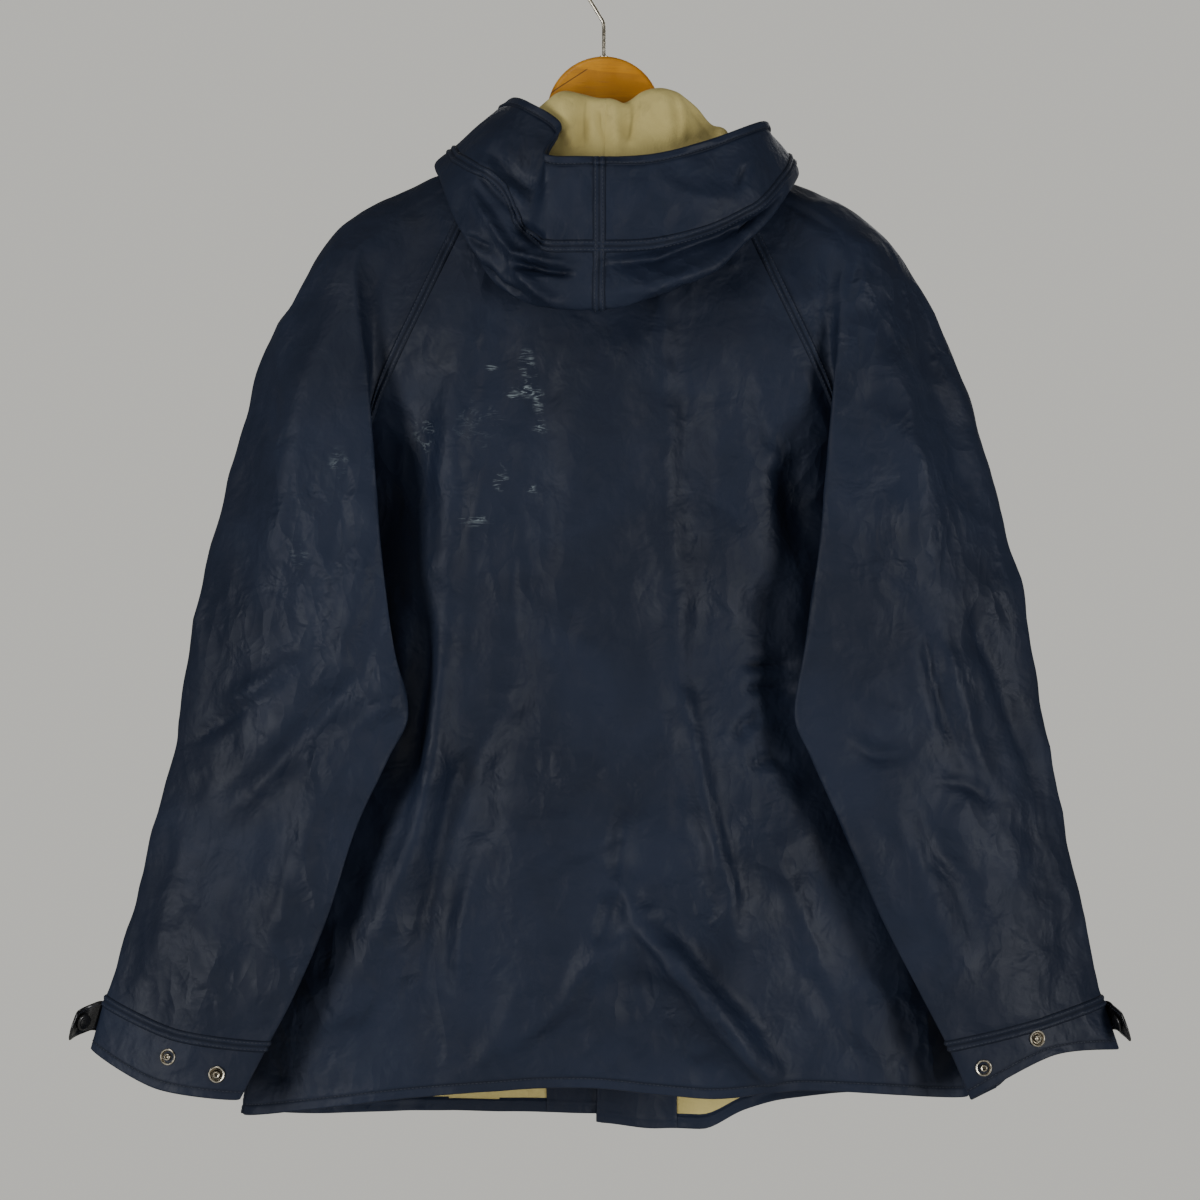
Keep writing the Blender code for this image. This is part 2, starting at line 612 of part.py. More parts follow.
def make_hanger():
    """The wooden hanger: an arched plate with a round dome, its edges eased, and a bent wire hook."""
    dome = [(DOME_RADIUS * math.cos(a), DOME_CENTRE_Z + DOME_RADIUS * math.sin(a))
            for a in np.radians(np.arange(90, -21, -10))]
    half = dome + list(ARM_TOP) + list(ARM_BOTTOM)
    outline = half + [(-x, z) for x, z in reversed(half[1:-1])]
    data = bpy.data.curves.new("hanger_wood", "CURVE")
    data.dimensions = "2D"
    data.fill_mode = "BOTH"
    data.extrude = HANGER_THICK / 2 * MM
    line = data.splines.new("POLY")
    line.points.add(len(outline) - 1)
    for point, (x, z) in zip(line.points, outline):
        point.co = (x * MM, z * MM, 0, 1)
    line.use_cyclic_u = True
    curve = bpy.data.objects.new("outline", data)
    jacket.objects.link(curve)
    bpy.context.view_layer.update()
    mesh = bpy.data.meshes.new_from_object(curve.evaluated_get(bpy.context.evaluated_depsgraph_get()))
    bpy.data.objects.remove(curve)
    build = bmesh.new()
    build.from_mesh(mesh)
    bmesh.ops.remove_doubles(build, verts=build.verts, dist=0.00001)
    build.to_mesh(mesh)
    build.free()
    wood = keep(bpy.data.objects.new("hanger_wood", mesh), "wood")
    wood.rotation_euler = (math.pi / 2, 0, 0)
    ease = wood.modifiers.new("Eased edges", "BEVEL")
    ease.width = 4 * MM
    ease.segments = 2
    ease.limit_method = "ANGLE"
    ease.angle_limit = math.radians(60)


def make_hook():
    """Wire from the dome up, bent aside and round over the rail. The rail touches it at the origin."""
    centre_z = HOOK_WIRE - HOOK_RADIUS
    lean = math.asin(HOOK_RADIUS / (centre_z - HOOK_BEND_Z))
    arc = [(-HOOK_RADIUS * math.cos(a), 0, centre_z + HOOK_RADIUS * math.sin(a))
           for a in np.linspace(-lean, math.pi * 1.12, 18)]
    foot = DOME_CENTRE_Z + DOME_RADIUS + SEAM_GAP
    bend = [(0, 0, HOOK_BEND_Z - 4), (-0.7, 0, HOOK_BEND_Z), (-2.6, 0, HOOK_BEND_Z + 3.4)]
    points = [(0, 0, foot)] + bend + arc
    data = bpy.data.curves.new("hanger_hook", "CURVE")
    data.dimensions = "3D"
    data.bevel_depth = HOOK_WIRE * MM
    data.bevel_resolution = 2
    data.use_fill_caps = True
    line = data.splines.new("POLY")
    line.points.add(len(points) - 1)
    for point, (x, y, z) in zip(line.points, points):
        point.co = (x * MM, y * MM, z * MM, 1)
    keep(bpy.data.objects.new("hanger_hook", data), "steel")


def make_cloth():
    """All panels, with seams shared so that neighbouring walls keep their gap."""
    back, armpit, shared = back_grid(), len(OPEN_STEPS) - 1, {}
    gather_normals(back, False, shared)
    sides = {}
    for side in (-1, 1):
        front, sleeve, cuff = front_grid(side), sleeve_grid(side), cuff_grid(side)
        sides[side] = front, sleeve, cuff
        gather_normals(front, side < 0, shared)
        gather_normals(sleeve, side < 0, shared, skip=((armpit, 0), (armpit, sleeve.shape[1] - 1)))
        gather_normals(cuff, side < 0, shared)
    wall("back", drawn_back(back), normals_of(back, shared), False)
    make_snap_caps(sides[-1][0], normals_of(sides[-1][0], shared))
    for side, (front, sleeve, cuff) in sides.items():
        name, flip = ("left", True) if side < 0 else ("right", False)
        front_normals = normals_of(front, shared)
        wall(f"front_{name}", drawn_back(front, last=False), front_normals, flip)
        strip, strip_normals = front[:, FRONT_COLUMNS:], front_normals[:, FRONT_COLUMNS:]
        wall(f"facing_{name}", strip - strip_normals * (CLOTH + FACING_GAP), strip_normals, flip, FACING_WALL)
        cuff_normals, sleeve_normals = normals_of(cuff, shared), normals_of(sleeve, shared)
        alone = {}
        gather_normals(sleeve, flip, alone)
        by_itself = normals_of(sleeve, alone)
        for end in (0, -1):
            sleeve_normals[armpit - 2:armpit, end] = by_itself[armpit - 2:armpit, end]
            sleeve_normals[armpit, end] = (-side * ARMPIT_OUT[0], -ARMPIT_OUT[1], -ARMPIT_OUT[2])
        moved = sleeve.copy()
        moved[:armpit] = drawn_back(sleeve[:armpit + 1])[:armpit]
        for end, inside in ((0, 1), (-1, -2)):
            moved[armpit - 1, [end]] = towards(sleeve[armpit - 1, [end]], sleeve[armpit - 1, [inside]], ARMPIT_EASE)
            moved[armpit, end] = sleeve[armpit, end] + np.array([side * 2 * ARMPIT_EASE, 0, 0])
        moved[-1] = towards(sleeve[-1], sleeve[-2], SEAM_GAP / 2)
        wall(f"sleeve_{name}", moved, sleeve_normals, flip)
        drawn = cuff.copy()
        drawn[0] = towards(cuff[0], cuff[1], SEAM_GAP / 2)
        wall(f"cuff_{name}", drawn, cuff_normals, flip, CUFF_WALL)
        make_tab(name, side, cuff, cuff_normals)
        for i, (x, z) in enumerate(STUD_PLACES[name]):
            place, facing = seat(cuff, cuff_normals, x, z, SNAP_RADIUS)
            lathe(f"cuff_stud_{name}_{i + 1}", STUD_PROFILE, place, facing, "steel")
    make_hood()


def make_hood():
    """The hood's crown and brim, each in two halves that meet at the centre seam."""
    halves = {"left": hood_grid(HOOD_LEFT_STEPS), "right": hood_grid(HOOD_RIGHT_STEPS)}
    shared = {}
    for grid in halves.values():
        gather_normals(grid, False, shared)
    for name, grid in halves.items():
        normals, left = normals_of(grid, shared), name == "left"
        crown, brim = slice(0, CROWN_ROWS + 1), slice(CROWN_ROWS, None)
        edges = {"top": not left, "bottom": left}
        wall(f"hood_crown_{name}", drawn_back(grid[:, crown], first=False, **edges), normals[:, crown], False)
        wall(f"hood_brim_{name}", drawn_back(grid[:, brim], last=False, **edges), normals[:, brim], False)


def towards(line, other, distance):
    """A line of points moved a distance towards another."""
    way = other - line
    return line + way / np.linalg.norm(way, axis=1, keepdims=True) * distance


def patch_point(grid, r, c, down, over):
    """A point inside the grid's cell (r, c)."""
    top = grid[r, c] * (1 - over) + grid[r, c + 1] * over
    return top * (1 - down) + (grid[r + 1, c] * (1 - over) + grid[r + 1, c + 1] * over) * down


def seat(grid, normals, x, z, radius, reverse=False):
    """Where a round fitting sits on a panel at (x, z): its base's middle, just clear of it, and its facing."""
    steps = np.linspace(0, 1, 7)
    spots, facings = [], []
    for r, c in np.ndindex(grid.shape[0] - 1, grid.shape[1] - 1):
        facing = normals[r:r + 2, c:c + 2].mean((0, 1))
        if (facing[1] < 0) != reverse:
            spots += [patch_point(grid, r, c, down, over) for down in steps for over in steps]
            facings += [facing / np.linalg.norm(facing)] * len(steps) ** 2
    spots = np.array(spots)
    nearest = np.hypot(spots[:, 0] - x, spots[:, 2] - z).argmin()
    place, facing = spots[nearest], facings[nearest]
    under = spots[np.linalg.norm(spots - place, axis=1) < radius * 1.3] - place
    return place + facing * (max((under @ facing).max(), 0) + SEAM_GAP), facing


def make_tab(name, side, cuff, normals):
    """A cuff's strap: sewn to the front face, led round the outer fold, its free end standing out."""
    rows = []
    for column in (OUTER_COLUMN + 2, OUTER_COLUMN + 1, OUTER_COLUMN):
        rows.append([
            point_down(cuff[:, column], share) + point_down(normals[:, column], share) * (TAB_WALL + TAB_GAP)
            for share in TAB_SPAN
        ])
    for i, (out, near) in enumerate(TAB_REACH[name]):
        rows.append([point + np.array([side * out, -near, -TAB_DROP * (i + 1)]) for point in rows[2]])
    grid = np.array(rows)
    store = {}
    gather_normals(grid, side > 0, store)
    tab_normals = normals_of(grid, store)
    wall(f"cuff_tab_{name}", grid, tab_normals, side > 0, TAB_WALL, "black")
    middle = grid[3:5, 1].mean(0)
    facing = tab_normals[3:5, 1].mean(0)
    facing /= np.linalg.norm(facing)
    lathe(f"tab_socket_{name}", SOCKET_PROFILE, middle - facing * (TAB_WALL + TAB_SOCKET_GAP), -facing, "steel")
    lathe(f"tab_cap_{name}", CAP_PROFILE, middle + facing * TAB_CAP_GAP, facing, "black")


def point_down(line, share):
    """A point at a share of the way down a column of a cuff."""
    place = share * (len(line) - 1)
    i = min(int(place), len(line) - 2)
    return line[i] * (1 - place + i) + line[i + 1] * (place - i)


def make_snap_caps(front, normals):
    """The caps down the covering front."""
    for i, z in enumerate(SNAP_HEIGHTS):
        place, facing = seat(front, normals, CENTRE_FRONT, z, SNAP_RADIUS, True)
        lathe(f"front_snap_{i + 1}", CAP_PROFILE, place, facing, "steel")


def main():
    global jacket
    for obj in list(bpy.data.objects):
        bpy.data.objects.remove(obj)
    jacket = bpy.data.collections.new("rain_jacket_on_hanger")
    bpy.context.scene.collection.children.link(jacket)
    make_cloth()
    make_hanger()
    make_hook()


main()
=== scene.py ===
import functools
import math

import bpy
import numpy as np
from mathutils import Matrix, Vector, noise
from mathutils.bvhtree import BVHTree


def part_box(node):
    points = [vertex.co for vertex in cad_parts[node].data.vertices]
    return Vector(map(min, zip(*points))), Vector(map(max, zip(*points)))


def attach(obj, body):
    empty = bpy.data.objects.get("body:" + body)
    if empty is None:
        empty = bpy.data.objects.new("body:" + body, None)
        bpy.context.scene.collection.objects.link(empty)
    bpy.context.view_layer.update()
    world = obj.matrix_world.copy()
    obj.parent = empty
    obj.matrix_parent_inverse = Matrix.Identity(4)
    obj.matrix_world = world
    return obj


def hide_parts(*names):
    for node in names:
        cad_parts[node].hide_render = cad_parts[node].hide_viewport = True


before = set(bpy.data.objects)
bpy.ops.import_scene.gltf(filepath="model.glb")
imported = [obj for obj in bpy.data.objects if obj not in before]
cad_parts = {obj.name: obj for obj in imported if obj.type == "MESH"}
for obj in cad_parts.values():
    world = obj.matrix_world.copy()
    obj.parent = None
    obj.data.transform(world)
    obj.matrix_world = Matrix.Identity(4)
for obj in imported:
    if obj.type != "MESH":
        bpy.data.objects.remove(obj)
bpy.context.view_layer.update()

bl_info = {
    "name": "Hooded rain jacket",
    "version": (1, 0, 0),
    "blender": (4, 5, 0),
    "location": "3D View > Sidebar > Rain jacket",
    "description": "Dresses the packed rain jacket and its hanger with cloth, seams, stitches, snaps and wood",
    "category": "Object",
}

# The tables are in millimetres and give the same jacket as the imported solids, +Z up, its back towards -Y.
MM = 0.001

# Cloth and seams
FACING_DEPTH = 1.9  # from the front's outer face to the facing's
BRIM_WIDTH = 73.0
HEM_WIDTH = 11.0
HEM_FOLD = 0.8  # what the turned hem adds to the thickness
BRIM_FOLD = 1.3  # what the turned edge of the brim adds
STITCH_GROOVE = (0.35, 1.2)  # depth and half width of the groove that a hem's stitches draw in
FACING_THICK = 0.9
CUFF_THICK = 2.0
STRAP_THICK = 1.7
# Rows of stitches, as distances from the edge
HEM_STITCH = 8.0
EDGE_STITCH = 5.5
FACING_STITCH = 8.0
CUFF_STITCH = 7.0
HOOD_STITCH = 5.6
HOOD_GROOVE = 6.8
STRAP_STITCH = 2.4
OVERLAP_STEP = 5.0  # how far the covered front lies inside the covering one
SEAM_PROFILE = (  # (distance from the seam, height, how much painted shade darkens it)
    (-5.3, -0.1, 1.0), (-4.9, 0.25, 1.0), (-4.2, 1.05, 0.3), (-3.0, 1.4, 0.0), (-1.6, 1.3, 0.0),
    (-0.8, 0.7, 0.5), (0.0, 0.35, 1.0), (0.8, 0.7, 0.5),
    (1.6, 1.3, 0.0), (3.0, 1.4, 0.0), (4.2, 1.05, 0.3), (4.9, 0.25, 1.0), (5.3, -0.1, 1.0),
)
SEAM_ROWS = (3, 9)  # the profile's columns that carry the two rows of stitches
SEAM_REACH = 16  # columns of each panel that lead away from a seam
SEAM_LIFT = 0.2
SEAM_SUNK = 0.5
BRIM_STEPS = (  # columns of the brim, from its seam to the opening's edge, as distances from that edge
    73, 69, 65, 61, 57, 53, 49, 45, 41, 37, 33, 29, 25, 21, 17, 13.5,
    11, 9.2, 8, 7.2, 6.5, 5.8, 4.8, 3.4, 2, 0.9, 0,
)

# Fronts, facings and straps
LEFT_FRONT_EDGE = 20.0  # free edge of the covering front, x
RIGHT_FRONT_EDGE = -6.0  # free edge of the covered front, x
CENTRE_FRONT = 7.0
FACING_WIDTH = 70.0
STRAP_REACH = {  # how far the strap's stops lie from its root: (outwards, towards -Y)
    "left": ((8, 3), (14, 9), (17, 19)),
    "right": ((3, 7), (6, 16), (8, 26)),
}
STRAP_DROP = 2.5
STRAP_SPAN = (0.06, 0.35, 0.64)  # shares of the cuff's height
STRAP_LIFT = 2.6
STRAP_ROUND = 5.0

# Hanger
HANGER_THICK = 14.0
HANGER_EASED = 4.5
HEAD_RADIUS = 49.0
HEAD_CENTRE_Z = -135.0
HANGER_ARM = (  # (x, z, height) of sections from the middle to the tip
    (0, -176, 30), (40, -180, 32), (80, -191.5, 30), (115, -205, 27), (150, -219, 26), (185, -234, 24),
    (202, -242, 22), (209, -245.5, 17), (212, -247, 9),
)
JOINT_OFFSET = 0.0742  # m, of the head's slanting joint from the origin
JOINT_END = -0.0644
HOOK_WIRE = 1.6
HOOK_RADIUS = 20.0
HOOK_BEND_Z = -56.0
COLLAR = ((3.6, -1.0), (3.9, 0.0), (3.9, 0.4), (3.2, 1.1), (2.3, 1.5), (1.7, 1.6), (1.7, 2.6), (0, 2.6))

# Stage, in metres
FLOOR_RADIUS = 2.4
FLOOR_Z = -1.75
FLOOR_SHADE = 0.96  # the floor's darker places against its lighter ones
CAMERA_PLACE = (-0.0034, -2.4, -0.553)
SENSOR_WIDTH = 36
LENS = 18 * 2400 / 516  # mm: half the sensor times the distance over half the width in view

# Lights: name, place, what it faces, size, power
LIGHTS = (
    ("overhead", (-0.8, -1.7, 1.3), (0, 0, -0.5), (1.2, 0.8), 12),
    ("front", (0.1, -3.3, -0.9), (0, 0, -0.7), (1.6, 1.2), 9),
    ("left", (-2.3, -1.9, -0.7), (0, 0, -0.7), (0.8, 1.2), 47),
    ("right", (2.3, -1.9, -0.8), (0, 0, -0.75), (0.8, 1.2), 46),
    ("behind", (0.6, 2.6, 0.8), (0, 0, -0.5), (2.2, 1.6), 26),
)
AMBIENT = 0.24  # share of the surroundings' light that falls on the jacket

# Raglan seams from the neckline to the armpit, as distances from the middle of the body
RAGLAN_COLUMNS = ("s", "back_x", "back_y", "back_z", "front_x", "front_y", "front_z")
RAGLAN = (
    (0.00, 97, -27, -181, 84, 27, -186),
    (0.20, 118, -42, -225, 107, 40, -230),
    (0.40, 140, -52, -272, 128, 48, -275),
    (0.55, 157, -56, -308, 146, 52, -312),
    (0.70, 175, -54, -345, 166, 49, -352),
    (0.85, 197, -38, -392, 192, 34, -402),
    (1.00, 222, 0, -468, 222, 0, -468),
)

# Sleeve sections from the neckline (s 0) past the armpit (s 1) to the cuff seam (s 3) and the cuff's end
# (s 3.4). out is the outer fold line, in is the fold line nearest the middle of the back, l and r the two
# sleeves. back and front are the bulges of the two faces, dip pushes the valley beside the back seam in, and sag
# moves the middle of both faces up or down.
SLEEVE_COLUMNS = ("s", "out_xl", "out_xr", "out_y", "out_z", "in_xl", "in_xr", "in_y", "in_z",
                  "back", "front", "dip", "sag_l", "sag_r")
SLEEVE = (
    (0.00, 88, 88, 0, -171, 94, 94, -15, -175, 1, 2, 0, 0, 0),
    (0.20, 148, 151, 2, -192, 136, 137, -24, -205, 4, 12, 0, 0, 0),
    (0.40, 204, 212, 2, -219, 184, 188, -36, -238, 9, 21, 3, 0, 0),
    (0.55, 236, 245, 0, -250, 211, 210, -50, -264, 11, 27, 8, 0, 0),
    (0.70, 264, 274, -4, -291, 207, 202, -62, -312, 12, 29, 8, 0, 0),
    (0.85, 289, 297, -8, -337, 199, 193, -69, -362, 16, 29, 3, 0, 0),
    (1.00, 305, 316, -11, -392, 193, 188, -74, -422, 20, 28, 0, 0, 0),
    (1.15, 319, 330, -12, -440, 189, 183, -77, -475, 22, 22, 0, 0, 0),
    (1.30, 332, 343, -12, -490, 184, 177, -78, -525, 24, 17, 0, 0, 0),
    (1.50, 347, 359, -12, -560, 175, 167, -79, -592, 25, 14, 0, 0, 0),
    (1.70, 360, 370, -14, -622, 163, 158, -80, -648, 26, 12, 0, 0, 0),
    (1.85, 366, 378, -14, -672, 179, 172, -79, -684, 25, 12, 0, 0, 0),
    (2.10, 384, 393, -14, -740, 206, 198, -77, -742, 23, 13, 0, 0, 0),
    (2.40, 400, 407, -16, -806, 230, 230, -74, -816, 21, 14, 0, 0, 0),
    (2.70, 414, 418, -18, -858, 256, 262, -71, -878, 18, 13, 0, -2, 0),
    (3.00, 426, 426, -20, -894, 281, 287, -69, -926, 16, 13, 0, -8, 0),
    (3.40, 438, 439, -20, -935, 304, 306, -69, -970, 15, 13, 0, -10, 18),
)

# Body sections: half widths at the side seams, and how far back and front stand off the hanger's plane
BODY_COLUMNS = ("z", "left", "right", "back_y", "front_y")
BODY = (
    (-197, 97, 97, -45, 50),
    (-232, 118, 118, -55, 55),
    (-300, 155, 155, -64, 60),
    (-380, 190, 190, -69, 63),
    (-468, 222, 222, -71, 63),
    (-500, 225, 225, -71, 63),
    (-560, 236, 236, -70, 62),
    (-650, 252, 253, -68, 61),
    (-750, 270, 272, -65, 59),
    (-850, 286, 289, -62, 56),
    (-920, 300, 303, -59, 54),
    (-985, 311, 314, -57, 52),
)

# Heights of the lower edges at places across
BACK_HEM_COLUMNS = ("x", "z")
BACK_HEM = (
    (-311, -994), (-244, -983), (-165, -972), (-61, -963), (-18, -962), (44, -968), (96, -972), (168, -966),
    (314, -978),
)
FRONT_HEM_COLUMNS = ("x", "left_z", "right_z")
FRONT_HEM = (
    (-311, -994, -1010),
    (-240, -1000, -1010),
    (-120, -1000, -1010),
    (-10, -1003, -1010),
    (50, -1004, -1016),
    (85, -1004, -1016),
    (125, -1000, -999),
    (200, -990, -984),
    (314, -980, -978),
)

# Main folds, as soft ridges (height > 0) or troughs: (x, z) of both ends, width and height
BACK_FOLDS = (
    (-120, -330, -150, -700, 26, 7),
    (-150, -700, -215, -900, 26, 8),
    (-64, -330, -70, -640, 24, -5),
    (-88, -640, -150, -880, 28, -9),
    (48, -300, 62, -640, 16, 4),
    (70, -640, 112, -840, 18, 5),
    (14, -800, 56, -868, 20, 8),
    (56, -868, 140, -966, 20, 10),
    (20, -890, 84, -962, 26, -6),
    (-30, -870, -60, -966, 30, -5),
    (134, -560, 176, -700, 34, -8),
    (-185, -480, -195, -640, 24, -8),
)
FRONT_FOLDS = (
    (-150, -330, -170, -960, 34, 7),
    (-90, -420, -96, -990, 30, -6),
    (120, -360, 150, -970, 34, 6),
    (80, -480, 84, -1000, 26, -5),
    (-215, -520, -240, -900, 26, -5),
    (205, -520, 235, -900, 26, -6),
)

# The dropped hood: for each section round the neck, where the cloth folds over (crest), the bottom of the
# pouch, the middle of the layer that rises again, and the opening's edge
HOOD_COLUMNS = ("k", "neck", "crest_x", "crest_y", "crest_z", "low_x", "low_y", "low_z",
                "mid_x", "mid_y", "mid_z", "edge_x", "edge_y", "edge_z")
HOOD = (
    (0.0, 0.0, 7, 58, -225, 7, 61, -207, 7, 63, -190, 7, 64, -172),
    (1.0, 0.9, -58, 50, -200, -74, 60, -190, -72, 62, -170, -60, 58, -148),
    (2.0, 2.0, -90, 32, -168, -118, 46, -184, -110, 46, -158, -88, 36, -132),
    (3.0, 3.0, -92, -2, -159, -144, -6, -182, -114, -10, -155, -82, -12, -127),
    (4.0, 4.0, -88, -34, -160, -134, -54, -212, -105, -66, -178, -64, -60, -136),
    (4.6, 4.5, -76, -42, -154, -116, -80, -250, -76, -90, -212, -36, -82, -160),
    (5.0, 4.9, -64, -46, -146, -94, -88, -284, -64, -97, -236, -46, -94, -176),
    (5.4, 5.3, -52, -48, -136, -70, -95, -302, -53, -106, -246, -49, -107, -186),
    (6.0, 6.0, -32, -51, -124, -42, -101, -311, -36, -111, -252, -33, -112, -190),
    (7.0, 7.0, 2, -52, -127, -4, -104, -314, -4, -113, -254, -4, -113, -190),
    (8.0, 8.0, 40, -51, -121, 40, -102, -305, 40, -112, -246, 38, -110, -188),
    (9.0, 9.0, 73, -46, -131, 84, -93, -283, 86, -103, -230, 82, -100, -176),
    (10.0, 10.0, 100, -34, -150, 130, -72, -242, 134, -76, -200, 131, -62, -153),
    (11.0, 11.0, 98, -2, -166, 165, -16, -190, 156, -20, -170, 138, -14, -150),
    (12.0, 12.0, 92, 32, -172, 126, 46, -186, 122, 46, -166, 106, 40, -148),
    (13.0, 13.1, 58, 46, -204, 78, 56, -194, 76, 58, -176, 66, 56, -156),
    (14.0, 14.0, 7, 52, -225, 7, 54, -207, 7, 56, -190, 7, 57, -172),
)

# Landmarks of the body
NECK_BACK_Z = -197.0
NECK_FRONT_Z = -243.0
ARMPIT_Z = -468.0
HEM_Z = -985.0
BODY_LENGTH = ARMPIT_Z - HEM_Z

# Creases: height (ridge above 0, trough below), reach to the left and to the right of the way, how sharp, and
# the way in (x, z)
BACK_CREASES = (
    (3.0, 34, 34, 0.0, ((40, -352), (48, -547), (54, -626))),
    (-2.5, 22, 44, 0.0, ((-46, -327), (-48, -416), (-49, -495), (-54, -570))),
    (-2.6, 40, 24, 0.0, ((100, -369), (99, -427), (93, -521), (85, -587))),
    (3.0, 28, 26, 0.0, ((-124, -377), (-129, -469), (-132, -553))),
    (-5.0, 26, 30, 0.0, ((128, -344), (143, -402), (164, -469), (179, -521))),
    (3.0, 20, 20, 0.0, ((145, -419), (147, -444))),
    (1.3, 7, 9, 0.6, ((-70, -505), (-67, -574))),
    (4.0, 22, 12, 0.4, ((-131, -553), (-139, -638), (-145, -695), (-159, -752), (-188, -826))),
    (-4.0, 24, 16, 0.2, ((-94, -661), (-117, -695), (-131, -738), (-145, -809), (-159, -881))),
    (-5.0, 14, 18, 0.2, ((-151, -553), (-159, -667), (-171, -724))),
    (1.5, 7, 9, 0.7, ((-102, -650), (-65, -630))),
    (-1.4, 8, 6, 0.7, ((-74, -673), (-29, -679))),
    (1.3, 8, 6, 0.7, ((-24, -710), (3, -693))),
    (2.6, 10, 16, 0.5, ((-105, -775), (-119, -826), (-122, -881))),
    (-1.2, 5, 6, 0.6, ((-74, -741), (-49, -736), (-25, -736))),
    (1.2, 5, 6, 0.6, ((-74, -781), (-37, -755))),
    (-1.2, 5, 6, 0.6, ((-74, -801), (-49, -793), (-25, -781))),
    (1.3, 6, 6, 0.6, ((-43, -773), (-12, -764), (12, -750))),
    (-3.0, 16, 12, 0.2, ((18, -712), (12, -795), (-8, -855))),
    (3.4, 10, 22, 0.6, ((66, -624), (83, -712), (97, -767), (106, -798), (109, -838))),
    (-3.2, 7, 6, 0.3, ((117, -607), (139, -608), (164, -605))),
    (-3.0, 7, 6, 0.3, ((117, -628), (139, -626), (164, -628))),
    (-3.4, 10, 8, 0.4, ((111, -670), (118, -658), (134, -650))),
    (-2.6, 8, 7, 0.4, ((124, -694), (141, -685), (157, -691))),
    (6.0, 24, 10, 0.5, ((23, -824), (54, -852), (83, -889), (111, -923), (140, -960))),
    (4.0, 12, 24, 0.5, ((23, -824), (-5, -850), (-34, -895), (-62, -917), (-86, -932))),
    (1.0, 5, 5, 0.6, ((26, -818), (47, -811), (69, -801))),
    (1.0, 5, 5, 0.6, ((28, -793), (47, -788), (69, -781))),
    (1.2, 7, 7, 0.5, ((-23, -938), (-5, -923))),
    (1.2, 7, 7, 0.5, ((66, -943), (89, -926))),
    (2.0, 16, 12, 0.3, ((-70, -876), (-87, -913), (-112, -951))),
    (-2.0, 12, 14, 0.3, ((164, -855), (196, -905), (223, -955))),
    (1.6, 12, 10, 0.4, ((131, -746), (164, -809), (186, -871))),
)
LEFT_SLEEVE_CREASES = (
    (-3.2, 7, 9, 0.7, ((-354, -673), (-323, -654), (-288, -632))),
    (3.2, 10, 12, 0.5, ((-319, -644), (-290, -626), (-258, -606))),
    (-5.0, 24, 18, 0.2, ((-193, -610), (-228, -639), (-248, -664), (-278, -691), (-303, -714), (-328, -734))),
    (-1.6, 7, 7, 0.5, ((-339, -699), (-348, -723))),
    (2.8, 12, 10, 0.4, ((-168, -633), (-186, -644), (-206, -661))),
    (-1.6, 6, 7, 0.6, ((-276, -597), (-249, -591), (-221, -582))),
    (2.8, 12, 22, 0.5, ((-196, -507), (-205, -553), (-211, -586), (-221, -616))),
    (1.0, 5, 5, 0.7, ((-261, -517), (-252, -501))),
    (1.0, 5, 5, 0.7, ((-210, -427), (-226, -448))),
    (3.0, 26, 26, 0.0, ((-228, -304), (-253, -387), (-269, -486), (-284, -553))),
    (-2.4, 26, 20, 0.1, ((-279, -329), (-298, -403), (-309, -486))),
    (2.2, 20, 22, 0.1, ((-228, -694), (-261, -769), (-284, -852))),
    (-2.4, 20, 24, 0.1, ((-261, -736), (-284, -802), (-309, -877))),
    (1.8, 16, 16, 0.1, ((-353, -744), (-369, -811), (-381, -865))),
)
RIGHT_SLEEVE_CREASES = (
    (-4.2, 8, 14, 0.5, ((268, -575), (277, -611), (295, -672))),
    (4.2, 16, 8, 0.5, ((280, -582), (303, -663), (321, -706))),
    (-3.6, 16, 12, 0.3, ((304, -544), (322, -593), (341, -639), (359, -684), (367, -718))),
    (-3.2, 9, 8, 0.3, ((202, -663), (224, -684), (251, -678))),
    (-2.6, 8, 9, 0.4, ((275, -702), (308, -708), (328, -724))),
    (1.6, 6, 7, 0.6, ((222, -637), (251, -651))),
    (1.3, 6, 6, 0.6, ((229, -544), (249, -562))),
    (-1.6, 8, 7, 0.5, ((284, -765), (313, -791))),
    (1.6, 8, 8, 0.5, ((341, -744), (348, -794))),
    (1.6, 12, 10, 0.3, ((224, -391), (271, -448))),
    (3.0, 26, 26, 0.0, ((223, -304), (250, -387), (267, -470), (278, -545))),
    (-2.6, 20, 24, 0.1, ((267, -320), (294, -403), (311, -478))),
    (2.4, 20, 20, 0.1, ((229, -703), (263, -769), (288, -844))),
    (-2.4, 20, 20, 0.1, ((258, -719), (296, -786), (321, -852))),
    (-1.4, 7, 7, 0.4, ((203, -520), (229, -532), (250, -553))),
)
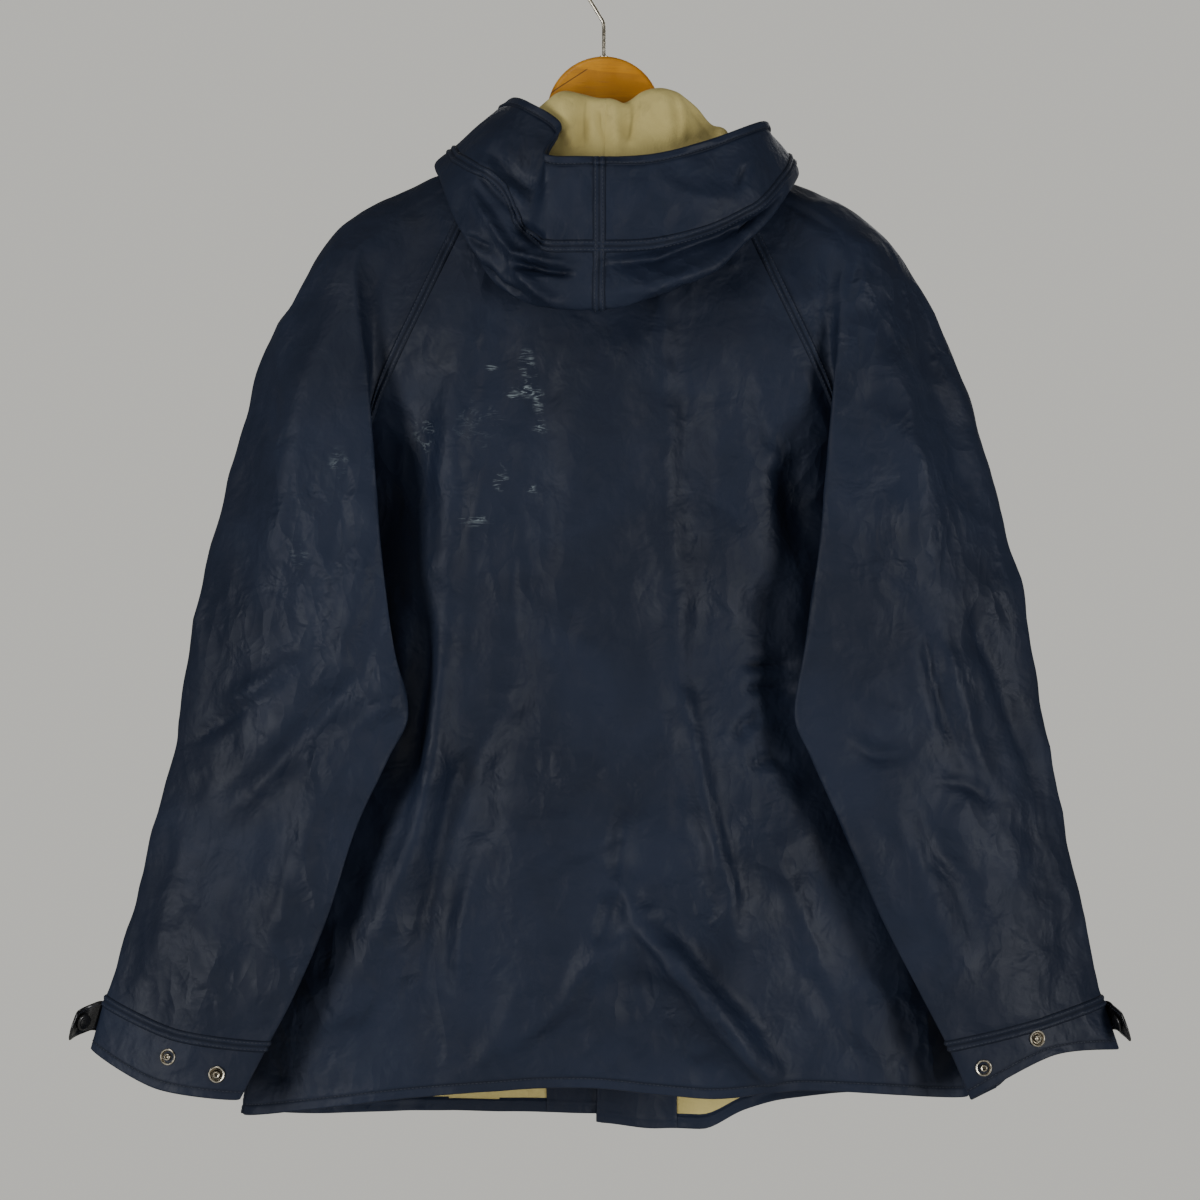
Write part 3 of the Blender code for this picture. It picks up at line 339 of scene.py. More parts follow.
HOOD_CREASES = (
    (4.6, 7, 9, 0.8, ((-113, -207), (-102, -228), (-84, -256), (-73, -268), (-49, -275), (-22, -281))),
    (-7.0, 6, 7, 0.6, ((-72, -275), (-49, -281), (-24, -285))),
    (-6.5, 8, 9, 0.5, ((-73, -242), (-61, -252), (-50, -260))),
    (4.2, 7, 7, 0.7, ((-74, -280), (-54, -298), (-32, -311))),
    (-3.6, 7, 7, 0.6, ((-102, -275), (-86, -293), (-61, -305))),
    (-3.2, 6, 6, 0.7, ((-117, -251), (-104, -257), (-91, -262))),
    (-7.0, 8, 19, 0.4, ((-9, -278), (46, -271), (98, -252), (142, -228))),
    (3.2, 9, 12, 0.6, ((-4, -302), (40, -296), (88, -277), (138, -240))),
    (2.6, 7, 7, 0.6, ((-110, -183), (-86, -207), (-61, -229))),
    (-2.6, 7, 7, 0.5, ((-96, -175), (-76, -199), (-54, -216))),
    (-2.0, 5, 5, 0.7, ((-106, -196), (-84, -222), (-66, -240))),
    (-2.4, 5, 5, 0.7, ((117, -194), (110, -212))),
    (-2.6, 5, 6, 0.7, ((152, -208), (136, -232), (112, -252))),
    (1.8, 14, 10, 0.2, ((36, -205), (72, -222), (108, -224))),
)
# The same for the hood's inner side, which shows between the rim and the opening's edge
LINING_CREASES = (
    (-3.0, 9, 9, 0.3, ((-16, -126), (-17, -150), (-18, -178))),
    (2.0, 10, 10, 0.2, ((-38, -132), (-30, -156), (-26, -176))),
    (2.4, 12, 10, 0.3, ((4, -132), (8, -152), (12, -178))),
    (-2.6, 8, 10, 0.4, ((26, -128), (24, -146), (19, -174))),
    (2.6, 12, 14, 0.2, ((48, -122), (52, -146), (56, -174))),
    (-2.2, 12, 10, 0.3, ((70, -134), (84, -150), (98, -164))),
    (1.6, 6, 6, 0.5, ((60, -128), (66, -150), (64, -170))),
    (-1.6, 6, 6, 0.5, ((-4, -140), (-2, -160), (4, -176))),
)
# How far the hood's rim, where the cloth turns over behind the neck, sinks at places across
HOOD_DIP_COLUMNS = ("x", "drop")
HOOD_DIP = (
    (-80, 0), (-45, 4), (-26, 5.5), (2, 6.5), (18, 12.5), (35, 6), (46, 2.5), (60, 0), (76, 5), (90, 11),
    (107, 2), (125, 0),
)
HOOD_DIP_REACH = 38.0  # how far below the rim it fades out
FRONT_CREASES = (
    (3.0, 30, 26, 0.0, ((-110, -300), (-124, -430), (-118, -560))),
    (-3.0, 22, 30, 0.0, ((-78, -330), (-84, -480), (-96, -610))),
    (3.4, 14, 24, 0.5, ((-150, -620), (-166, -740), (-196, -900))),
    (-3.4, 22, 14, 0.2, ((-118, -650), (-130, -780), (-150, -930))),
    (3.0, 22, 14, 0.4, ((90, -560), (112, -700), (128, -850))),
    (-3.6, 16, 24, 0.2, ((130, -600), (158, -740), (186, -900))),
    (2.8, 26, 26, 0.0, ((118, -300), (134, -430), (128, -540))),
    (-3.0, 26, 22, 0.0, ((86, -340), (90, -470), (100, -560))),
    (3.6, 22, 12, 0.5, ((60, -780), (96, -860), (128, -950))),
    (2.6, 12, 20, 0.5, ((-40, -760), (-66, -850), (-96, -930))),
    (-1.4, 7, 7, 0.6, ((-160, -520), (-120, -545))),
    (1.4, 7, 7, 0.6, ((-140, -470), (-96, -490))),
    (-1.4, 7, 7, 0.6, ((140, -500), (176, -520))),
    (1.2, 6, 6, 0.6, ((60, -640), (110, -626))),
    (-2.6, 8, 7, 0.4, ((190, -560), (212, -566), (232, -560))),
    (-2.4, 8, 7, 0.4, ((-236, -600), (-212, -604), (-190, -598))),
    (1.4, 8, 8, 0.5, ((-60, -690), (-20, -704))),
    (-1.2, 6, 6, 0.6, ((50, -730), (84, -716))),
)
SLEEVE_FRONT_CREASES = (
    (-3.4, 14, 20, 0.2, ((190, -560), (222, -596), (262, -628), (300, -640))),
    (3.2, 12, 10, 0.5, ((200, -640), (240, -668), (290, -690))),
    (3.0, 26, 26, 0.0, ((230, -300), (262, -420), (286, -540))),
    (-2.8, 22, 22, 0.1, ((270, -330), (300, -440), (322, -560))),
    (2.6, 20, 20, 0.1, ((250, -720), (290, -800), (330, -880))),
    (-2.6, 20, 20, 0.1, ((290, -700), (330, -780), (368, -870))),
    (-1.8, 8, 8, 0.5, ((330, -620), (360, -650))),
    (1.6, 8, 8, 0.5, ((220, -500), (262, -520))),
    (-2.2, 9, 8, 0.3, ((198, -700), (226, -722), (258, -716))),
)
SLEEVE_FRONT_SHIFT = {"left": -6, "right": 9}  # the fronts of the two sleeves don't crease alike

# Sampling
OPEN_ROWS = np.linspace(0, 1, 71)
HEM_STEPS = np.array((16, 14, 12, 10.5, 9, 8, 7, 6, 4.5, 3, 1.5, 0.6, 0))
BODY_ROWS = np.concatenate([
    OPEN_ROWS, np.linspace(1, 2 - 18 / BODY_LENGTH, 112)[1:], 2 - HEM_STEPS / BODY_LENGTH,
])
BACK_COLUMNS = 150
FRONT_COLUMNS = 64
FACING_COLUMNS = 18
SLEEVE_ROWS = np.concatenate([OPEN_ROWS, np.linspace(1, 3, 118)[1:]])
SLEEVE_FINENESS = 5
SLEEVE_PARTS = tuple(SLEEVE_FINENESS * parts for parts in (2, 3, 4, 4, 4, 4))
INNER_COLUMN = sum(SLEEVE_PARTS[:2])  # the fold nearest the middle of the back
OUTER_COLUMN = sum(SLEEVE_PARTS[:4])  # the outer fold
SLEEVE_TURNED = 12  # columns past the inner fold whose inner face is navy
CUFF_ROWS = 3 + 0.4 * np.array(
    (0, 0.03, 0.06, 0.12, 0.2, 0.28, 0.36, 0.44, 0.52, 0.6, 0.68, 0.74, 0.8, 0.84, 0.88, 0.92, 0.96, 0.985, 1)
)
HOOD_LEFT_ROWS = np.concatenate([np.linspace(0, 4, 56), np.linspace(4, 6, 60)[1:], np.linspace(6, 7, 16)[1:]])
HOOD_RIGHT_ROWS = np.linspace(7, 14, 112)
HOOD_ROWS = np.concatenate([HOOD_LEFT_ROWS, HOOD_RIGHT_ROWS[1:]])
HOOD_PARTS = (8, 4, 4, 30, 4, 4, 16)  # neck, crest (2), fall, pouch (2), rise to the brim seam
CROWN_COLUMNS = sum(HOOD_PARTS)
HOOD_FOLD_RADIUS = 6.0
HOOD_STAND_SHARE = 0.28


def smooth(a, b, x):
    """0 below a, 1 above b, and a soft step between them."""
    t = np.clip((x - a) / (b - a), 0.0, 1.0)
    return t * t * (3 - 2 * t)


def follow(table, columns, name, key):
    """The named column's values at keys of the first column, on a smooth curve through the table's rows."""
    rows = np.array(table, float)
    if rows[0, 0] > rows[-1, 0]:
        rows = rows[::-1]
    keys, values = rows[:, 0], rows[:, columns.index(name)]
    slopes = np.diff(values) / np.diff(keys)
    ends = np.concatenate([slopes[:1], (slopes[:-1] + slopes[1:]) / 2, slopes[-1:]])
    ends[1:-1][slopes[:-1] * slopes[1:] <= 0] = 0
    key = np.clip(key, keys[0], keys[-1])
    i = np.clip(np.searchsorted(keys, key) - 1, 0, len(keys) - 2)
    h = keys[i + 1] - keys[i]
    t = (key - keys[i]) / h
    return (
        values[i] * (1 + 2 * t) * (1 - t) ** 2
        + values[i + 1] * t * t * (3 - 2 * t)
        + ends[i] * h * t * (1 - t) ** 2
        - ends[i + 1] * h * t * t * (1 - t)
    )


def between(a, b, share):
    return a * (1 - share) + b * share


def through(points, steps):
    """Points on a smooth curve through the given points, with a number of steps for each span."""
    pts = [np.array(p, float) for p in points]
    pts = [2 * pts[0] - pts[1]] + pts + [2 * pts[-1] - pts[-2]]
    knots = [0.0]
    for a, b in zip(pts, pts[1:]):
        knots.append(knots[-1] + max(np.linalg.norm(b - a), 1e-6) ** 0.5)
    curve = []
    for i, count in enumerate(steps):
        k, blend = knots[i:i + 4], pts[i:i + 4]
        t = np.linspace(k[1], k[2], count + 1)[(1 if i else 0):, None]
        for reach in (1, 2):
            shares = [(t - k[j]) / (k[j + reach] - k[j]) for j in range(len(blend) - 1)]
            blend = [between(a, b, share) for a, b, share in zip(blend, blend[1:], shares)]
        curve.append(between(*blend, (t - k[1]) / (k[2] - k[1])))
    return np.concatenate(curve)


def run_of(line):
    """Distances along a line of points."""
    return np.concatenate([[0], np.cumsum(np.linalg.norm(np.diff(line, axis=0), axis=1))])


def runs_over(grid):
    """Distances along each row of a grid."""
    return np.stack([run_of(row) for row in grid])


def runs_down(grid):
    """Distances along each column of a grid."""
    return np.stack([run_of(grid[:, c]) for c in range(grid.shape[1])], axis=1)


def at_places(places, run, values):
    """Vectors that are known at the distances run, at other places."""
    return np.stack([np.interp(places, run, values[:, j]) for j in range(3)], axis=-1)


def along(line, distances):
    """Points at distances along a line."""
    return at_places(distances, run_of(line), line)


def unit(vectors):
    return vectors / np.maximum(np.linalg.norm(vectors, axis=-1, keepdims=True), 1e-9)


def folds_at(folds, x, z):
    """How far the large folds lift the cloth at (x, z)."""
    lift = np.zeros_like(x)
    for x0, z0, x1, z1, width, height in folds:
        way = np.array([x1 - x0, z1 - z0])
        near = np.clip(((x - x0) * way[0] + (z - z0) * way[1]) / (way @ way), 0, 1)
        far = np.hypot(x - x0 - near * way[0], z - z0 - near * way[1])
        lift += height * np.exp(-((far / width) ** 2) * 2)
    return lift


def creases_at(table, x, z):
    """How far creases lift the cloth at (x, z)."""
    lift = np.zeros_like(x)
    for height, left, right, sharp, way in table:
        way = np.array(way, float)
        run = run_of(way)
        far, place, side = np.full_like(x, np.inf), np.zeros_like(x), np.zeros_like(x)
        for a, b, start in zip(way, way[1:], run):
            step = b - a
            t = np.clip(((x - a[0]) * step[0] + (z - a[1]) * step[1]) / (step @ step), 0, 1)
            dx, dz = x - a[0] - t * step[0], z - a[1] - t * step[1]
            away = np.hypot(dx, dz)
            nearer = away < far
            far = np.where(nearer, away, far)
            place = np.where(nearer, (start + t * np.linalg.norm(step)) / run[-1], place)
            side = np.where(nearer, step[0] * dz - step[1] * dx, side)
        share = far / np.where(side > 0, left, right)
        form = between(np.exp(-2.5 * share ** 2), np.clip(1 - share, 0, 1) ** 1.5, sharp)
        ends = np.minimum(1, 4 * place + 0.15) * np.minimum(1, 4 * (1 - place) + 0.15)
        lift += height * form * ends
    return lift


def raglan(side, face, s):
    """A point of the raglan seam of side -1 or 1, on the face 'back' or 'front'."""
    x, y, z = (follow(RAGLAN, RAGLAN_COLUMNS, f"{face}_{axis}", min(s, 1.0)) for axis in "xyz")
    return np.array([side * x, y, z])


def sleeve_section(side, s):
    """Points round the sleeve at s, from its back seam over the outer fold to its front seam."""
    letter = "l" if side < 0 else "r"
    value = {name: follow(SLEEVE, SLEEVE_COLUMNS, name, s) for name in SLEEVE_COLUMNS[1:]}
    outer = np.array([side * value[f"out_x{letter}"], value["out_y"], value["out_z"]])
    inner = np.array([side * value[f"in_x{letter}"], value["in_y"], value["in_z"]])
    if s <= 1:
        start, end = raglan(side, "back", s), raglan(side, "front", s)
    else:
        share = min((s - 1) / 0.3, 1.0)
        under = inner + np.array([side * 24, 24, 6])
        start = raglan(side, "back", 1.0) * (1 - share ** 0.7) + under * share ** 0.7
        start = start - np.array([0, 0, 24 * math.sin(math.pi * share)])
        end = start
    across = outer - inner
    out_of_back = np.array([across[1] * side, -abs(across[0]), 0.0])
    out_of_back /= np.linalg.norm(out_of_back)
    dip = (start + inner) / 2 + np.array([0, value["dip"], 0])
    sag = np.array([0, 0, value[f"sag_{letter}"]])
    back = (inner + outer) / 2 + out_of_back * value["back"] + sag
    front = (outer + end) / 2 - out_of_back * value["front"] + sag
    section = through((start, dip, inner, back, outer, front, end), SLEEVE_PARTS)
    section[0], section[-1] = start, end
    return section


def share_at(across):
    """How far out a column lies: columns stand a little closer towards the side seams."""
    return 0.55 * across + 0.45 * np.sin(across * np.pi / 2)


def across_at(share):
    places = np.linspace(0, 1, 201)
    return float(np.interp(share, share_at(places), places))


def body_row(face, s):
    """(left side point, right side point, middle, spread, roundness) of the body at s, which goes from 0 to 1
    down to the armpit and from 1 to 2 on to the hem."""
    if s <= 1:
        left, right = raglan(-1, face, s), raglan(1, face, s)
        top = NECK_BACK_Z if face == "back" else NECK_FRONT_Z
        z = min(top, left[2]) if face == "back" else top + (ARMPIT_Z - top) * s ** 1.15
        spread, roundness = 2 + 0.3 * smooth(0, 0.4, s), 1.0
    else:
        z = ARMPIT_Z + (HEM_Z - ARMPIT_Z) * (s - 1)
        left = np.array([-follow(BODY, BODY_COLUMNS, "left", z), 0, z])
        right = np.array([follow(BODY, BODY_COLUMNS, "right", z), 0, z])
        spread, roundness = 2.3 + 0.3 * (s - 1), 1 + 0.9 * smooth(1.1, 2.0, s)
    y = follow(BODY, BODY_COLUMNS, f"{face}_y", z)
    return left, right, np.array([0, y, z]), spread, roundness


def body_points(side_point, centre, across, spread, roundness):
    """Points of a body section, at shares across (0 to 1) from the middle to the side point."""
    share = share_at(np.abs(across))
    bulge = np.maximum(1 - share ** spread, 0.0) ** (1 / roundness)
    return np.stack([
        centre[0] + (side_point[0] - centre[0]) * share,
        side_point[1] + (centre[1] - side_point[1]) * bulge,
        centre[2] + (side_point[2] - centre[2]) * share * share,
    ], axis=-1)


def to_hem(s, target, z):
    """Moves the lower rows of the body gradually onto the hem's own line."""
    return z + (target - HEM_Z) * max(s - 1, 0) ** 3


def back_row(s, across):
    """Outer points of the back panel at s."""
    left, right, centre, spread, roundness = body_row("back", s)
    row = np.where((across < 0)[:, None], body_points(left, centre, across, spread, roundness),
                   body_points(right, centre, across, spread, roundness))
    row[:, 1] -= folds_at(BACK_FOLDS, row[:, 0], row[:, 2]) * (1 - np.abs(across) ** 6)
    hem_left, hem_right = (point[0] for point in body_row("back", 2)[:2])
    hem_x = share_at(np.abs(across)) * np.where(across < 0, hem_left, hem_right)
    row[:, 2] = to_hem(s, follow(BACK_HEM, BACK_HEM_COLUMNS, "z", hem_x), row[:, 2])
    return row


def front_row(side, s, across):
    """Outer points of a front at s, across 1 at its side seam, 0 at the centre front and below 0 past it."""
    left, right, centre, spread, roundness = body_row("front", s)
    middle = np.array([CENTRE_FRONT, centre[1], centre[2]])
    side_point = left if side < 0 else right
    row = body_points(side_point, middle, across, spread, roundness)
    row[:, 0] = np.where(across < 0, 2 * CENTRE_FRONT - row[:, 0], row[:, 0])
    row[:, 1] += folds_at(FRONT_FOLDS, row[:, 0], row[:, 2]) * (1 - np.abs(across) ** 6)
    if side > 0:
        row[:, 1] -= OVERLAP_STEP * (1 - smooth(26, 70, row[:, 0]))
    hem_side = body_row("front", 2)[0 if side < 0 else 1][0]
    hem_half, half = hem_side - CENTRE_FRONT, side_point[0] - CENTRE_FRONT
    hem_x = CENTRE_FRONT + (row[:, 0] - CENTRE_FRONT) * hem_half / half
    name = "left_z" if side < 0 else "right_z"
    row[:, 2] = to_hem(s, follow(FRONT_HEM, FRONT_HEM_COLUMNS, name, hem_x), row[:, 2])
    return row


def front_places(side, s):
    """The columns of a front at s, from its side seam to its free edge. The last ones carry the facing."""
    edge = LEFT_FRONT_EDGE if side < 0 else RIGHT_FRONT_EDGE
    left, right = body_row("front", s)[:2]
    half = abs((left if side < 0 else right)[0] - CENTRE_FRONT)
    to_edge = across_at(abs(edge - CENTRE_FRONT) / half)
    to_facing = across_at(abs(edge + side * FACING_WIDTH - CENTRE_FRONT) / half)
    return np.concatenate([
        np.linspace(1, to_facing, FRONT_COLUMNS + 1), np.linspace(to_facing, -to_edge, FACING_COLUMNS + 1)[1:]
    ])


def neckline(k, s=0.0):
    """A point of the neckline at k, from 0 at the left of the centre front round the back to 14. With s above 0
    it lies that much lower."""
    side = -1 if k < 7 else 1
    m = k if k < 7 else 14 - k
    if m < 2:
        return front_row(side, s, np.array([m / 2]))[0]
    if m <= 4:
        section = sleeve_section(side, s)
        return along(section, [run_of(section)[-1] * (1 - (m - 2) / 2)])[0]
    return back_row(s, np.array([side * (7 - m) / 3]))[0]


def rounded_turn(before, turn, after, radius):
    """Three points that lead round a fold instead of a sharp corner."""
    way_in, way_out = (v / np.linalg.norm(v) for v in (turn - before, after - turn))
    sideways = (way_in + way_out) / max(np.linalg.norm(way_in + way_out), 0.05)
    spread = radius * (1 - way_in @ way_out) / 2
    return [turn - way_in * radius - sideways * spread, turn, turn + way_out * radius + sideways * spread]


def neck_clearance(k):
    """How far the hood's lower edge stands above the neckline."""
    m = min(k, 14 - k)
    return 0.6 + 1.5 * math.sin(math.pi * np.clip(m - 2, 0, 2) / 2) ** 2 + 1.0 * (1 - smooth(0, 1.5, m))


def hood_line(k):
    """One section of the hood, from the neckline over the crest and the pouch to the opening's edge."""
    value = {name: follow(HOOD, HOOD_COLUMNS, name, k) for name in HOOD_COLUMNS[1:]}
    neck = neckline(value["neck"]) + np.array([0, 0, neck_clearance(k)])
    crest, low, mid, edge = (
        np.array([value[f"{name}_{axis}"] for axis in "xyz"]) for name in ("crest", "low", "mid", "edge")
    )
    radius = min(HOOD_FOLD_RADIUS, HOOD_STAND_SHARE * np.linalg.norm(crest - neck))
    over, under = rounded_turn(neck, crest, low, radius), rounded_turn(crest, low, mid, radius)
    stops = [neck] + over + under + [mid, edge]
    fine = 8
    curve = through(stops, [fine] * (len(stops) - 1))
    run = run_of(curve)
    at = [run[i * fine] for i in range(len(stops))]
    brim = min(BRIM_WIDTH, 0.8 * (run[-1] - at[6]))
    places = []
    for start, end, parts in zip(at[:7], at[1:7] + [run[-1] - brim], HOOD_PARTS):
        places += list(np.linspace(start, end, parts + 1))[:-1]
    return along(curve, np.concatenate([places, run[-1] - brim / BRIM_WIDTH * np.array(BRIM_STEPS)]))


def normals_of(grid, flip=False):
    """Each point's way out of the cloth."""
    return unit(np.cross(np.gradient(grid, axis=0), np.gradient(grid, axis=1)) * (-1 if flip else 1))


def uneven(grid, size, seed, ridged=False):
    """Smooth unevenness from -0.5 to 0.5 at each point, with lumps or sharper ridges of a size."""
    found = np.array([noise.noise(Vector(p) / size + Vector((seed, seed, 0))) for p in grid.reshape(-1, 3)])
    found = 0.5 - 2 * np.abs(found) if ridged else found
    return found.reshape(grid.shape[:2])


def crumpled(grid, normals, lift, seed, share):
    """The grid lifted along its normals, with a share of the small unevenness that all of this cloth has."""
    sizes = bpy.context.scene.jacket_sizes
    lift = lift * sizes.crease_depth + share * sizes.crumple / MM * (
        uneven(grid, 85, seed) + 0.45 * uneven(grid, 38, seed + 7) + 0.3 * uneven(grid, 60, seed + 3, True)
        + 0.14 * uneven(grid, 17, seed + 5)
    )
    return grid + normals * lift[..., None]


def edge_loop(grid, normals):
    """(indices, outward directions) of the grid's border, once round."""
    rows, columns = grid.shape[:2]
    index = np.arange(rows * columns).reshape(rows, columns)
    sides = (
        (index[:-1, 0], grid[:-1, 0] - grid[:-1, 1]),
        (index[-1, :-1], grid[-1, :-1] - grid[-2, :-1]),
        (index[:0:-1, -1], grid[:0:-1, -1] - grid[:0:-1, -2]),
        (index[0, :0:-1], grid[0, :0:-1] - grid[1, :0:-1]),
    )
    loop = np.concatenate([side[0] for side in sides])
    out = np.concatenate([side[1] for side in sides])
    n = normals.reshape(-1, 3)[loop]
    return loop, unit(out - (out * n).sum(1, keepdims=True) * n)


def thinned(grid, normals, depth, quads):
    """The thickness of the cloth, less where two layers lie close, so that no inner face comes out through the
    other layer's outer one."""
    points, ways, room = grid.reshape(-1, 3), -normals.reshape(-1, 3), depth.ravel().copy()
    tree = BVHTree.FromPolygons(points.tolist(), quads.tolist())
    for i, (point, way) in enumerate(zip(points, ways)):
        hit = tree.ray_cast(Vector(point + way * 0.03), Vector(way), 4 * room[i])[3]
        if hit is not None:
            room[i] = min(room[i], max(0.4 * hit, 0.05))
    room = np.pad(room.reshape(depth.shape), 1, mode="edge")
    rows, columns = depth.shape
    return np.minimum.reduce([room[a:a + rows, b:b + columns] for a in range(3) for b in range(3)])


def shell(name, grid, normals, flip, depth, looks, turned=None, shade=None):
    """A cloth piece with a rounded rim: the grid is its outer face, and depth (mm) its thickness. Faces of the
    inner side take the second look, and the first one where they are turned in. Shade is painted shade that
    darkens the outer face in its grooves."""
    rows, columns = grid.shape[:2]
    full = np.broadcast_to(np.asarray(depth, float), (rows, columns))
    index = np.arange(rows * columns).reshape(rows, columns)
    quads = np.stack([index[:-1, :-1], index[1:, :-1], index[1:, 1:], index[:-1, 1:]], axis=-1).reshape(-1, 4)
    depth = thinned(grid, normals, full, quads)
    inside = grid - normals * depth[..., None]
    loop, out = edge_loop(grid, normals)
    flat, flat_in, count = grid.reshape(-1, 3), inside.reshape(-1, 3), rows * columns
    round_rim = (flat[loop] + flat_in[loop]) / 2 + out * depth.reshape(-1)[loop, None] * 0.4
    points = np.concatenate([flat, flat_in, round_rim]) * MM
    p, q = loop, np.roll(loop, -1)
    mid_p = 2 * count + np.arange(len(loop))
    mid_q = np.roll(mid_p, -1)
    rim = np.concatenate([
        np.stack([q, p, mid_p, mid_q], 1), np.stack([mid_q, mid_p, p + count, q + count], 1),
    ])
    faces = np.concatenate([quads, quads[:, (0, 3, 2, 1)] + count, rim])
    if flip:
        faces = faces[:, ::-1]
    mesh = bpy.data.meshes.new(name)
    mesh.from_pydata(points.tolist(), [], faces.tolist())
    over = runs_over(grid)
    cloth = np.stack([over - over[:, -1:] / 2, runs_down(grid)], axis=-1).reshape(-1, 2) * MM
    cloth = np.concatenate([cloth, cloth, cloth[loop]])
    layer = mesh.uv_layers.new(name="cloth")
    corners = np.empty(len(mesh.loops), np.int32)
    mesh.loops.foreach_get("vertex_index", corners)
    layer.data.foreach_set("uv", cloth[corners].ravel())
    which = np.zeros(len(faces), np.int32)
    inner = np.ones((rows - 1, columns - 1), np.int32)
    if turned is not None:
        inner[turned[:-1, :-1] & turned[1:, 1:]] = 0
    thin = depth < 0.75 * full
    inner[thin[:-1, :-1] | thin[1:, :-1] | thin[:-1, 1:] | thin[1:, 1:]] = 0
    which[len(quads):2 * len(quads)] = inner.ravel()
    for look in looks:
        mesh.materials.append(look)
    if len(looks) > 1:
        mesh.polygons.foreach_set("material_index", which)
    if shade is not None:
        paint(mesh, np.concatenate([shade.ravel(), np.zeros(count + len(loop))]))
    mesh.shade_smooth()
    return placed(name, mesh)


def paint(mesh, shade):
    """Keeps how dark each point's groove is as an attribute that the materials read: painted shade on the cloth,
    painted shade and grime on the studs.
    """
    mesh.attributes.new("painted_shade_and_grime", "FLOAT", "POINT").data.foreach_set("value", shade.astype(np.float32))


def placed(name, mesh):
    piece = bpy.data.objects.new(name, mesh)
    bpy.context.scene.collection.objects.link(piece)
    return piece


def strip(name, base, flip, heights, shades, look):
    """A narrow closed band on a surface: base holds its points there, row by row along the seam. Gives the
    piece, and its upper points and normals."""
    normals = normals_of(base, flip)
    top = base + normals * np.asarray(heights)[None, :, None]
    rows, columns = base.shape[:2]
    under = base - normals * SEAM_SUNK
    ring = np.concatenate([top, under[:, ::-1]], axis=1)
    size = ring.shape[1]
    index = np.arange(rows * size).reshape(rows, size)
    a, b = index[:-1], index[1:]
    quads = np.stack([a, b, np.roll(b, -1, 1), np.roll(a, -1, 1)], axis=-1).reshape(-1, 4)
    faces = (quads[:, ::-1] if flip else quads).tolist()
    ends = [index[0].tolist(), index[-1, ::-1].tolist()]
    faces += [end[::-1] for end in ends] if flip else ends
    mesh = bpy.data.meshes.new(name)
    mesh.from_pydata((ring.reshape(-1, 3) * MM).tolist(), [], faces)
    mesh.materials.append(look)
    paint(mesh, np.tile(list(shades) + [1.0] * columns, rows))
    mesh.shade_smooth()
    mesh.set_sharp_from_angle(angle=math.radians(75))
    return placed(name, mesh), top, normals


def seam(name, lines_a, lines_b, flip, look):
    """A raised felled seam. lines_a and lines_b lead away from it over the two panels that it joins."""
    distances, heights, shades = np.array(SEAM_PROFILE).T
    base = []
    for a, b in zip(lines_a, lines_b):
        middle = (a[:1] + b[:1]) / 2
        base.append(np.concatenate([
            along(np.concatenate([middle, a[1:]]), -distances[distances < 0]),
            along(np.concatenate([middle, b[1:]]), distances[distances >= 0]),
        ]))
    piece, top, normals = strip(name, np.array(base), flip, heights + SEAM_LIFT, shades, look)
    return piece, [(top[:, c], normals[:, c]) for c in SEAM_ROWS]


def stitch_form():
    """One stitch, modelled once: a short thread, 1 long and 1 thick before it is laid in place."""
    bpy.ops.object.select_all(action="DESELECT")
    bpy.ops.mesh.primitive_uv_sphere_add(segments=6, ring_count=4, radius=0.5, rotation=(0, math.pi / 2, 0))
    thread = bpy.context.object
    bpy.ops.object.transform_apply(location=True, rotation=True, scale=True)
    points = np.array([v.co for v in thread.data.vertices])
    faces = [list(f.vertices) for f in thread.data.polygons]
    bpy.data.objects.remove(thread)
    return points, faces


def sew(name, lines, look):
    """Rows of stitches along lines of (points, normals), in mm."""
    sizes = bpy.context.scene.jacket_sizes
    pitch, length, thick = sizes.stitch_pitch / MM, sizes.stitch_length / MM, sizes.thread / MM
    form, form_faces = stitch_form()
    laid = []
    for line, normals in lines:
        run = run_of(line)
        centres = np.arange(pitch / 2, run[-1], pitch)
        way = unit(along(line, centres + length / 2) - along(line, centres - length / 2))
        up = at_places(centres, run, normals)
        up = unit(up - (up * way).sum(1, keepdims=True) * way)
        place, beside = along(line, centres), np.cross(up, way)
        laid.append(
            place[:, None] + form[None, :, :1] * way[:, None] * length
            + form[None, :, 1:2] * beside[:, None] * thick + form[None, :, 2:] * up[:, None] * thick
        )
    laid = np.concatenate(laid)
    size = laid.shape[1]
    faces = [[start + v for v in face] for start in range(0, len(laid) * size, size) for face in form_faces]
    mesh = bpy.data.meshes.new(name)
    mesh.from_pydata((laid.reshape(-1, 3) * MM).tolist(), [], faces)
    mesh.materials.append(look)
    mesh.shade_smooth()
    return placed(name, mesh)


def fade_from(grid, first=0.0, last=0.0, top=0.0, bottom=0.0):
    """0 at the named edges and 1 further in than the given distances (mm), so that joined panels meet."""
    found, over, down = np.ones(grid.shape[:2]), runs_over(grid), runs_down(grid)
    for width, away in ((first, over), (last, over[:, -1:] - over), (top, down), (bottom, down[-1:] - down)):
        if width:
            found = found * smooth(0, width, away)
    return found


def hem_distance(grid):
    """How far each point is from the grid's last row."""
    down = runs_down(grid)
    return down[-1:] - down


def hem_groove(grid):
    """How deep the groove of the hem's stitches is at each point."""
    depth, width = STITCH_GROOVE
    return depth * line_shade(hem_distance(grid), HEM_STITCH, width)


def line_shade(away, place, width=1.1):
    """1 in the groove of a row of stitches and less beside it, at distances from the edge."""
    return np.exp(-(((away - place) / width) ** 2))


